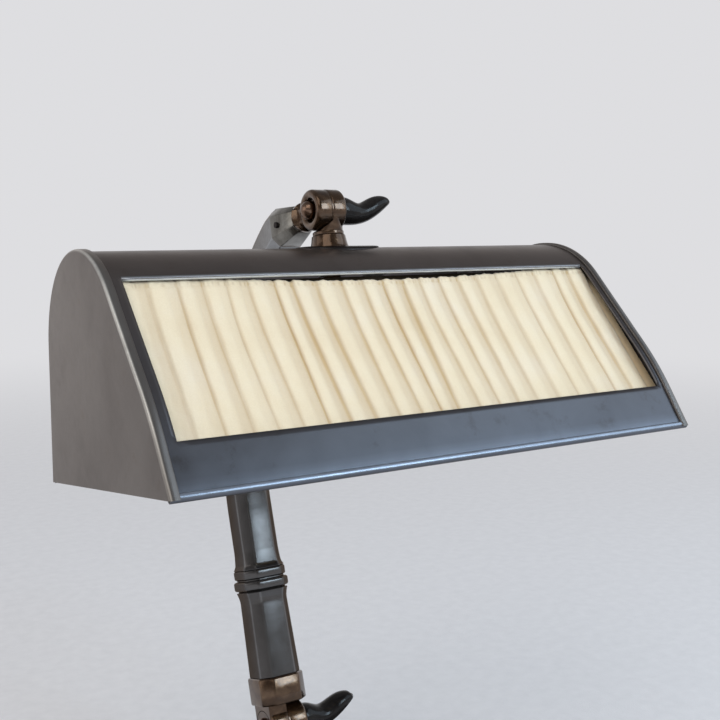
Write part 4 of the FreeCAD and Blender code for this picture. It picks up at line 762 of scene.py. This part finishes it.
# ------------------------------------------------------------------ swivel: neck
# Turned bronze: the upper half carries the right eye of the joint on a short column with a ring at its foot,
# and turns in the lower half, a low cone that is clamped on the crown by its threaded tail.
neck_x, neck_back, joint_up = 147.5, 110.0, 136.0
neck_axis = np.array([neck_x, neck_back, 0.0])
eye_profile = np.concatenate([[(145.8, 0.0)], bend(146.5, 10.8, 0.7, 180, 90, 5),
                              bend(152.9, 9.9, 1.6, 90, 0, 8), [(154.5, 0.0)]])
neck_eye = turned(eye_profile, (0.0, neck_back, joint_up), right, up, 96)
column_profile = np.concatenate([[(121.6, 5.0), (121.65, 8.3)], bend(122.15, 8.25, 0.5, 180, 90, 5),
                                 bend(123.4, 8.25, 0.5, 90, 0, 5),
                                 [(height, 8.3) for height in (123.95, 126.4, 127.6, 128.6, 132.0, joint_up)],
                                 [(joint_up, 0.0)]])
column_grid = turned(column_profile, neck_axis, up, right, 96)
# above its ring the column is cut flat on both sides, to the eye's thickness
right_limit = np.interp(column_grid[..., 2], [123.9, 124.0, 126.6, 128.8], [160.0, 155.8, 155.7, 154.4])
left_limit = np.where(column_grid[..., 2] > 123.92, 145.9, 130.0)
column_grid[..., 0] = np.clip(column_grid[..., 0], left_limit, right_limit)
# a round rib thins as it climbs from the ring towards the front of the eye
rib_share = np.concatenate([np.linspace(0.0, 1.0, 40), [1.02, 1.04, 1.05]])[:, None, None]
rib_radius = np.concatenate([np.linspace(8.3, 2.6, 40), [2.2, 1.4, 0.02]])[:, None, None]
spoke_turn = np.linspace(0.0, 2 * np.pi, 96, endpoint=False)[None, :, None]
rib_grid = (np.array([neck_x, neck_back, 123.9]) + rib_share * np.array([0.0, -7.8, 7.1])
            + rib_radius * (np.cos(spoke_turn) * right + np.sin(spoke_turn) * back))
beside_eye = np.linalg.norm(rib_grid[..., 1:] - [neck_back, joint_up], axis=-1) < 11.75
rib_grid[..., 0] = np.where(beside_eye, np.maximum(rib_grid[..., 0], 145.9), rib_grid[..., 0])


def tube(low, high, inner, outer, count):
    """Straight piece of tube about the neck's axis: its four corners and the first again, turned."""
    corners = [(low, inner), (low, outer), (high, outer), (high, inner), (low, inner)]
    return turned(corners, neck_axis, up, right, count)


pivot_grid = tube(96.0, 123.0, 3.0, 5.0, 40)
made("neck_upper", "neck", joint_bronze,
     shells(neck_eye, column_grid, rib_grid, pivot_grid, capped=[2]), hung, ("neck_head",), crisp=32.0)


def crown_height(back, depth):
    """Height of the shade's outline over a distance back, at a depth under it."""
    place = section(np.linspace(100.0, 240.0, 900), depth)
    return np.interp(back, place[:, 0], place[:, 1])


# the cone's rows are dropped onto the crown where the share of their own height is 0
cone_rows = np.array([  # height, radius, share of its own height
    (121.6, 5.05, 1.0), (121.6, 9.0, 1.0), (121.45, 9.35, 1.0), (121.1, 9.5, 1.0), (118.0, 10.0, 1.0),
    (115.8, 10.55, 1.0), (115.0, 10.9, 0.6), (114.6, 11.3, 0.25), (114.0, 11.3, 0.0), (114.0, 5.05, 0.0),
    (121.6, 5.05, 1.0)])
cone_grid = turned(cone_rows[:, :2], neck_axis, up, right, 96)
cone_share = cone_rows[:, 2:]
cone_grid[..., 2] = cone_grid[..., 2] * cone_share + crown_height(cone_grid[..., 1], 0.2) * (1 - cone_share)
made("neck_lower", "shade", joint_bronze,
     shells(cone_grid, tube(98.5, 114.5, 5.05, 7.5, 48)), hung, ("neck_foot",), crisp=32.0)


# ------------------------------------------------------------------ swivel: rosette and hidden nuts
# Thin oval steel plate, pressed to the crown's curve, that spreads the neck's load. A saddle washer and nuts
# hold it and the neck's foot from inside.
rosette_hole, rosette_length, rosette_width = 7.6, 26.5, 22.5
rosette_share = np.array([0.0, 0.3, 0.6, 0.85, 0.95, 0.985, 1.0, 1.0, 0.985, 0.5, 0.0, 0.0])[:, None]
rosette_lift = np.array([1.05, 1.05, 1.02, 0.98, 0.85, 0.6, 0.35, -0.05, -0.1, -0.1, -0.1, 1.05])[:, None]
plate_turn = np.linspace(0, 2 * np.pi, 120, endpoint=False)
plate_x = (rosette_hole + (rosette_length - rosette_hole) * rosette_share) * np.cos(plate_turn)
plate_y = (rosette_hole + (rosette_width - rosette_hole) * rosette_share) * np.sin(plate_turn)
plate_middle = neck_x + 2.5 * rosette_share
plate_height = crown_height(neck_back + plate_y, cap_rim) + rosette_lift
plate_grid = np.stack([plate_middle + plate_x, neck_back + plate_y, plate_height], -1)
rosette_steel = dark_steel("rosette_steel", (0.026, 0.022, 0.021), (0.040, 0.035, 0.034),
                           (0.060, 0.054, 0.052), (0.30, 0.32, 0.35), rough=(0.3, 0.42),
                           edge=(0.30, 0.28, 0.27))
made("neck_rosette", "shade", rosette_steel, shells(plate_grid), hung, ("rosette",))
wears(tinned_steel, "saddle_washer", "ring_nut", "pivot_washer", "pivot_nut", "holder_bracket", "holder_nuts",
      "holder_nipple")


# ------------------------------------------------------------------ gooseneck
# Drawn steel tube of chamfered-square section, flared at its foot, filled and bent to a wide bow and a tight
# elbow, and tapered to the arm head. Its corners and its upper end are rubbed bright, and the upper end is
# brightened further as a painted reflection.
stem_lean = math.radians(18.3)
stem_up = np.array([0.0, math.sin(stem_lean), math.cos(stem_lean)])
stem_front = np.array([0.0, -math.cos(stem_lean), math.sin(stem_lean)])
stem_foot_axis = np.array([0.0, 35.2, 54.0])
gooseneck_start = 98.0
tube_width, tube_taper = 25.2, 2.8
straight_run, bow_run, elbow_run = 38.3037, 166.60148 * math.radians(68.3), 14.0 * math.radians(24.5)
stem_steel = dark_steel("stem_steel", (0.044, 0.039, 0.036), (0.060, 0.055, 0.053), (0.083, 0.079, 0.078),
                        (0.42, 0.43, 0.44), rough=(0.15, 0.24), edge=(0.44, 0.36, 0.30), coat=0.04)
fine_run = np.linspace(0.0, straight_run + bow_run + elbow_run, 6001)
heading = np.radians(np.interp(fine_run, np.cumsum([0, straight_run, bow_run, elbow_run]),
                               [71.7, 71.7, 140.0, 164.5]))
mid_heading = (heading[1:] + heading[:-1]) / 2
bow_y = np.concatenate([[0], np.cumsum(np.cos(mid_heading))]) * fine_run[1]
bow_z = np.concatenate([[0], np.cumsum(np.sin(mid_heading))]) * fine_run[1]
neck_run = np.concatenate([[0.0, 0.0, 0.25], np.linspace(0.6, 13.0, 24),
                           np.linspace(15.0, straight_run, 8)[:-1],
                           np.linspace(straight_run, straight_run + bow_run, 72)[:-1],
                           np.linspace(straight_run + bow_run, fine_run[-1], 12), [fine_run[-1]]])
neck_width = (tube_width + 1.7 * np.clip(1 - neck_run / 12.0, 0, 1) ** 1.6
              + 2.1 * np.clip(1 - neck_run / 3.2, 0, 1) ** 1.5)
neck_width -= tube_taper * np.clip((neck_run - straight_run) / (bow_run + elbow_run), 0, 1)
neck_width[0] = neck_width[-1] = 0.02
neck_width[1] -= 0.5
turned_by = np.interp(neck_run, fine_run, heading)
neck_centre = stem_foot_axis + gooseneck_start * stem_up + np.stack(
    [0 * neck_run, np.interp(neck_run, fine_run, bow_y), np.interp(neck_run, fine_run, bow_z)], -1)
neck_front = np.stack([0 * neck_run, -np.sin(turned_by), np.cos(turned_by)], -1)
gooseneck_grid = carried(eight_sided(0.09), neck_centre, neck_width, right, neck_front)
corner_wear = np.tile([0.1, 0.3, 0.3, 0.1], 8)
# Brighter towards the upper end: rubbing, and a painted reflection.
upper_end_wear_and_sheen = np.interp(neck_run, [straight_run + 0.72 * bow_run, straight_run + bow_run], [0.0, 0.7])
made("gooseneck_tube", "stem", stem_steel, shells(gooseneck_grid), stood, ("gooseneck",),
     crisp=25.0, marks=corner_wear + upper_end_wear_and_sheen[:, None])


# ------------------------------------------------------------------ stem collar and lower stem
# Cast double collar, bored for the gooseneck's tenon, on a tapered column whose top flares to meet it. Small
# grub screws hold the column in its foot and the gooseneck in the arm head.
collar_start = 84.8


def banded(stations):
    """Ring widths along the stem from (distance, width) pairs, as a carried eight-sided section."""
    stations = np.asarray(stations, float)
    return carried(eight_sided(0.09), stem_foot_axis + stations[:, :1] * stem_up, stations[:, 1], right,
                   stem_front)


def rounded_band(low, high, width, radius):
    """Band between two distances along the stem, with both its edges rounded."""
    turn = np.radians(np.linspace(-90, 90, 13))
    rise = np.where(turn < 0, low + radius + radius * np.sin(turn), high - radius + radius * np.sin(turn))
    return np.stack([rise, width - 2 * radius + 2 * radius * np.cos(turn)], -1)


lower_band = rounded_band(collar_start, 91.0, 30.8, 1.7)
upper_band = rounded_band(91.8, gooseneck_start, 29.2, 1.5)
collar_stations = np.concatenate([[(collar_start, 0.02)], lower_band, [(91.1, 26.6), (91.7, 26.6)], upper_band,
                                  [(gooseneck_start, 0.02)]])
made("collar", "stem", stem_steel, shells(banded(collar_stations)), stood, ("stem_collar",),
     crisp=30.0, marks=0.12)
flare_run = np.linspace(76.5, 83.6, 12)
column_stations = np.concatenate([[(30.3, 0.02), (30.3, 27.6), (30.7, 28.2)],
                                  np.stack([np.linspace(31.5, 75.5, 10), np.linspace(28.17, 26.5, 10)], -1),
                                  np.stack([flare_run, 26.45 + 2.6 * ((flare_run - 76.5) / 7.1) ** 2], -1),
                                  [(83.9, 28.7), (84.0, 27.0), (collar_start, 26.2), (collar_start, 0.02)]])
made("lower_column", "stem", stem_steel, shells(banded(column_stations)), stood,
     ("lower_stem",), crisp=30.0, marks=np.tile(corner_wear, len(column_stations)))
wears(rosette_steel, "stem_set_screws")


# ------------------------------------------------------------------ lower joint
# The same clamp, larger: the stem's foot has the left eye, and the knuckle on the base has the right one. The
# knuckle's spigot goes through the base's roof to a nut.
lower_eye_radius = 13.0
lower_scale = lower_eye_radius / arm_eye_radius
foot_eye = turned(sunk_eye(lower_scale, lower_eye_radius, -12.4, -0.4), stem_foot_axis, right, up, 96)
foot_block = banded([(13.3, 0.02), (13.3, 29.0), (13.6, 30.2), (14.3, 30.9), (29.2, 30.9), (29.9, 30.2),
                     (30.3, 29.0), (30.3, 0.02)])
web_thick, web_wide, web_offset = 12.0, 20.8, 6.4
web_ring = np.array([(-1, -1), (-1, 1), (1, 1), (1, -1)]) * 0.5 * [web_thick, web_wide]


def web(start, first, last, along, across):
    """Flat bar of the web's section from one distance to another along a direction."""
    return (start + np.array([first, last])[:, None, None] * along + web_ring[None, :, :1] * right
            + web_ring[None, :, 1:] * across)


foot_web = web(stem_foot_axis - web_offset * right, 0.0, 29.0, stem_up, stem_front)
made("stem_foot_casting", "stem", joint_bronze,
     shells(foot_eye, foot_block, foot_web, capped=[2]), stood, ("stem_foot",), crisp=30.0)
knuckle_foot = np.array([0.0, 35.2, 0.0])
knuckle_profile = np.concatenate([[(0.4, 0.0)], bend(0.8, 12.6, 0.4, 180, 90, 4),
                                  bend(10.8, 11.4, 1.6, 90, 0, 8), [(12.4, 0.0)]])
knuckle_eye = turned(knuckle_profile, stem_foot_axis, right, up, 96)
flange_rows = np.array([(33.9, 0.02), (34.0, 39.0), (34.3, 39.7), (34.9, 40.0), (38.6, 40.0), (39.8, 39.4),
                        (40.5, 38.2), (40.7, 36.8), (40.7, 0.02)])
flange_grid = carried(eight_sided(0.05), knuckle_foot + flange_rows[:, :1] * up, flange_rows[:, 1], right,
                      back)
upright = web(knuckle_foot + web_offset * right, 35.0, 54.0, up, back)
spigot_grid = turned([(7.5, 0.0), (7.5, 7.0), (34.5, 7.0), (34.5, 0.0)], knuckle_foot, up, right, 48)
made("knuckle_casting", "base", joint_bronze,
     shells(knuckle_eye, flange_grid, upright, spigot_grid, capped=[2]), stood, ("base_knuckle",), crisp=30.0)
foot_bolt = domed_bolt(lower_scale, -12.4 + 3.0 * lower_scale, 4.0, 19.4)
made("foot_bolt", "base", bolt_steel, shells(turned(foot_bolt, stem_foot_axis, right, up, 64)),
     stood, ("lower_clamp_bolt",))
made("foot_lever", "lower_lever", lever_black,
     shells(horn(39.56, stem_foot_axis + 12.45 * right), capped=[0]), stood, ("lower_thumb_lever",),
     crisp=60.0)


# ------------------------------------------------------------------ base casting
# Heavy iron casting, hollow below, with a stepped edge and a roof that rises to the knuckle; dark lacquer
# over a slightly grainy skin.
base_length, base_depth, corner_cut = 190.0, 150.0, 26.0


def plan_ring(length, depth, leg, back, height):
    """Rounded eight-sided plan, one row for each set of sizes; leg is how much each corner is cut off."""
    sizes = (length, depth, leg, back, height)
    length, depth, leg, back, height = [np.asarray(size, float)[:, None] for size in sizes]
    a, b = length / 2, depth / 2
    x = np.concatenate([a, a, a - leg, leg - a, -a, -a, leg - a, a - leg], 1)
    y = np.concatenate([leg - b, b - leg, b, b, b - leg, leg - b, -b, -b], 1)
    ring = rounded(np.stack([x, y], -1), np.minimum(4.0, leg * 0.28)[..., None], 5)
    ring[..., 1] += back
    return np.concatenate([ring, np.broadcast_to(height[..., None], ring.shape[:2] + (1,))], -1)


def quarter(inset, height, radius, first, last, count):
    """Rounded step of the casting's edge, as (inset, height) pairs."""
    turn = np.radians(np.linspace(first, last, count))
    return np.stack([inset - radius * np.cos(turn), height + radius * np.sin(turn)], -1)


step_profile = np.concatenate([[(7.0, 15.9), (7.0, 3.2), (4.0, 3.2), (4.0, 2.0), (0.6, 2.0), (0.0, 2.6),
                                (0.0, 8.0), (0.0, 13.0)], quarter(2.2, 17.8, 2.2, 0, 90, 8), [(7.0, 20.0)],
                               quarter(7.6, 21.2, 1.2, 270, 360, 5), quarter(10.4, 22.6, 1.4, 0, 90, 6),
                               [(14.6, 24.05)]])
inset, step_height = step_profile.T
step_grid = plan_ring(base_length - 2 * inset, base_depth - 2 * inset, corner_cut + 0 * inset, 0 * inset,
                      step_height)
roof_inset, roof_top, roof_low, roof_rise, boss_back = 15.0, 48.0, 24.0, 9.9, knuckle_foot[1]
roof_length, roof_depth = base_length - 2 * roof_inset, base_depth - 2 * roof_inset
roof_share = np.linspace(0.02, 1.0, 14)
roof_grid = plan_ring(roof_length + (roof_top - roof_length) * roof_share,
                      roof_depth + (roof_top - roof_depth) * roof_share, corner_cut - 15.73 * roof_share,
                      boss_back * roof_share, roof_low + roof_rise * roof_share)
boss_grid = plan_ring([47.4, 46.0], [47.4, 46.0], [10.1, 9.9], [boss_back, boss_back], [34.0, 34.0])
skin = (60.0, 7.0, 0.6, 0.3)
base_iron = mottled("base_iron", skin, ((0.3, (0.030, 0.027, 0.024)), (0.55, (0.052, 0.047, 0.043)),
                    (0.78, (0.080, 0.072, 0.064))), (skin, 0.0006), ((700.0, 4.0, 0.6), 0.00018),
                    gloss=(0.34, 0.52), Metallic=0.25, Coat_Weight=0.35, Coat_Roughness=0.3)
base_grid = np.concatenate([step_grid, roof_grid, boss_grid])
made("base_body", "base", base_iron, shells(base_grid, capped=[0]), stood, ("base_casting",),
     crisp=35.0)


# ------------------------------------------------------------------ under the base
# Felt pad, closing plate with four countersunk screws, iron weight, the knuckle's nut and washer, and the
# rubber bush for a cord.
fibres = (1500.0, 6.0, 0.75)
felt_green = mottled("felt", fibres, ((0.3, (0.020, 0.045, 0.028)), (0.7, (0.045, 0.085, 0.055))),
                     (fibres, 0.0004), ((90.0, 4.0), 0.0006), Roughness=0.97, Sheen_Weight=0.4,
                     Sheen_Roughness=0.6)
wears(felt_green, "base_felt")
wears(tinned_steel, "base_plate", "base_plate_screws", "knuckle_washer", "knuckle_nut")
raw_iron = bright_metal("raw_iron", (0.06, 0.05, 0.045), (0.14, 0.125, 0.11), (0.7, 0.5), metal=0.7)
wears(raw_iron, "base_weight")
bloom = (300.0, 5.0, 0.6)
bush_rubber = mottled("bush_rubber", bloom, ((0.3, (0.012, 0.011, 0.010)), (0.75, (0.034, 0.031, 0.028))),
                      (bloom, 0.0002), Roughness=0.62, Specular_IOR_Level=0.4)
bush_profile = np.concatenate([[(-11.0, 3.6), (-11.0, 6.0), (-7.0, 6.0), (-7.0, 5.5), (0.0, 5.5), (0.0, 7.6)],
                               bend(0.5, 7.5, 0.5, 180, 90, 4), bend(1.2, 7.2, 0.8, 90, 0, 5),
                               bend(1.5, 4.1, 0.5, 0, -90, 5), [(-11.0, 3.6)]])
bush_grid = turned(bush_profile, (0.0, 75.0, 9.6), back, right, 56)
made("cord_bush", "base", bush_rubber, shells(bush_grid), stood, ("cord_inlet_bush",))


# ------------------------------------------------------------------ lampholder
# Brass-cased key switch holder on a nipple: domed cap, barrel with a rolled mouth, porcelain core, threaded
# shell, and a moulded key.
holder_brass = bright_metal("holder_brass", (0.40, 0.26, 0.11), (0.66, 0.48, 0.23), (0.38, 0.22), size=110.0)
wears(holder_brass, "holder_cap", "holder_barrel", "screw_shell", "centre_contact")
glaze, mould = (130.0, 4.0), (220.0, 5.0)
core_white = mottled("core_white", glaze, ((0.3, (0.62, 0.58, 0.50)), (0.7, (0.78, 0.75, 0.68))),
                     (glaze, 0.0002), Roughness=0.35, Coat_Weight=0.3)
wears(core_white, "holder_core")
key_black = mottled("key_black", mould, ((0.3, (0.012, 0.010, 0.009)), (0.7, (0.030, 0.024, 0.020))),
                    (mould, 0.0001), Roughness=0.3, Coat_Weight=0.4, Coat_Roughness=0.15)
wears(key_black, "switch_key")


# ------------------------------------------------------------------ bulb
# Tubular bulb with opal glass, cemented in an aluminium screw cap with a rolled thread, which screws into the
# holder.
lamp_axis, glass_end = (0.0, 110.0, 60.0), 190.9
glass_profile = np.concatenate([bend(87.9, 0.0, 15.0, 180, 90, 22),
                                [(100.0, 15.0), (140.0, 15.0), (180.9, 15.0), (184.0, 14.75), (188.0, 14.0),
                                 (glass_end, 13.0), (glass_end, 0.0)]])
milk = (45.0, 4.0)
opal = mottled("opal_glass", milk, ((0.3, (0.80, 0.79, 0.76)), (0.7, (0.88, 0.87, 0.85))), (milk, 0.0001),
               Roughness=0.12, Coat_Weight=0.5, Coat_Roughness=0.05, Subsurface_Weight=0.15)
made("bulb_tube", "shade", opal, shells(turned(glass_profile, lamp_axis, right, up)), hung,
     ("bulb_glass",))
# skirt, thread and contact end as rows of (distance, radius); the thread's ridge winds 3.6 mm at each turn
skirt_rows = np.array([(glass_end, 0.0), (glass_end, 12.9), (191.4, 13.15), (191.8, 12.85)])
end_rows = np.array([(211.4, 12.2), (213.6, 9.0), (214.9, 7.9), (217.2, 5.0), (217.4, 4.4), (217.4, 0.0)])
thread_x = np.linspace(192.0, 210.6, 96)
thread_turn = np.linspace(0, 2 * np.pi, 72, endpoint=False)
ridge = 0.42 * np.cos(2 * np.pi * thread_x[:, None] / 3.6 - thread_turn)
thread_r = 12.75 + ridge * np.interp(thread_x, [192.0, 193.5, 209.0, 210.6], [0, 1, 1, 0])[:, None]
cap_x = np.concatenate([skirt_rows[:, 0], thread_x, end_rows[:, 0]])[:, None] + 0 * thread_turn
cap_r = np.concatenate([skirt_rows[:, 1:] + 0 * thread_turn, thread_r, end_rows[:, 1:] + 0 * thread_turn])
cap_grid = lamp_axis + np.stack([cap_x, cap_r * np.sin(thread_turn), cap_r * np.cos(thread_turn)], -1)
cap_metal = bright_metal("cap_metal", (0.52, 0.52, 0.51), (0.72, 0.72, 0.71), (0.4, 0.25), size=150.0)
made("bulb_screw_cap", "shade", cap_metal, shells(cap_grid), hung, ("bulb_cap",), crisp=50.0)
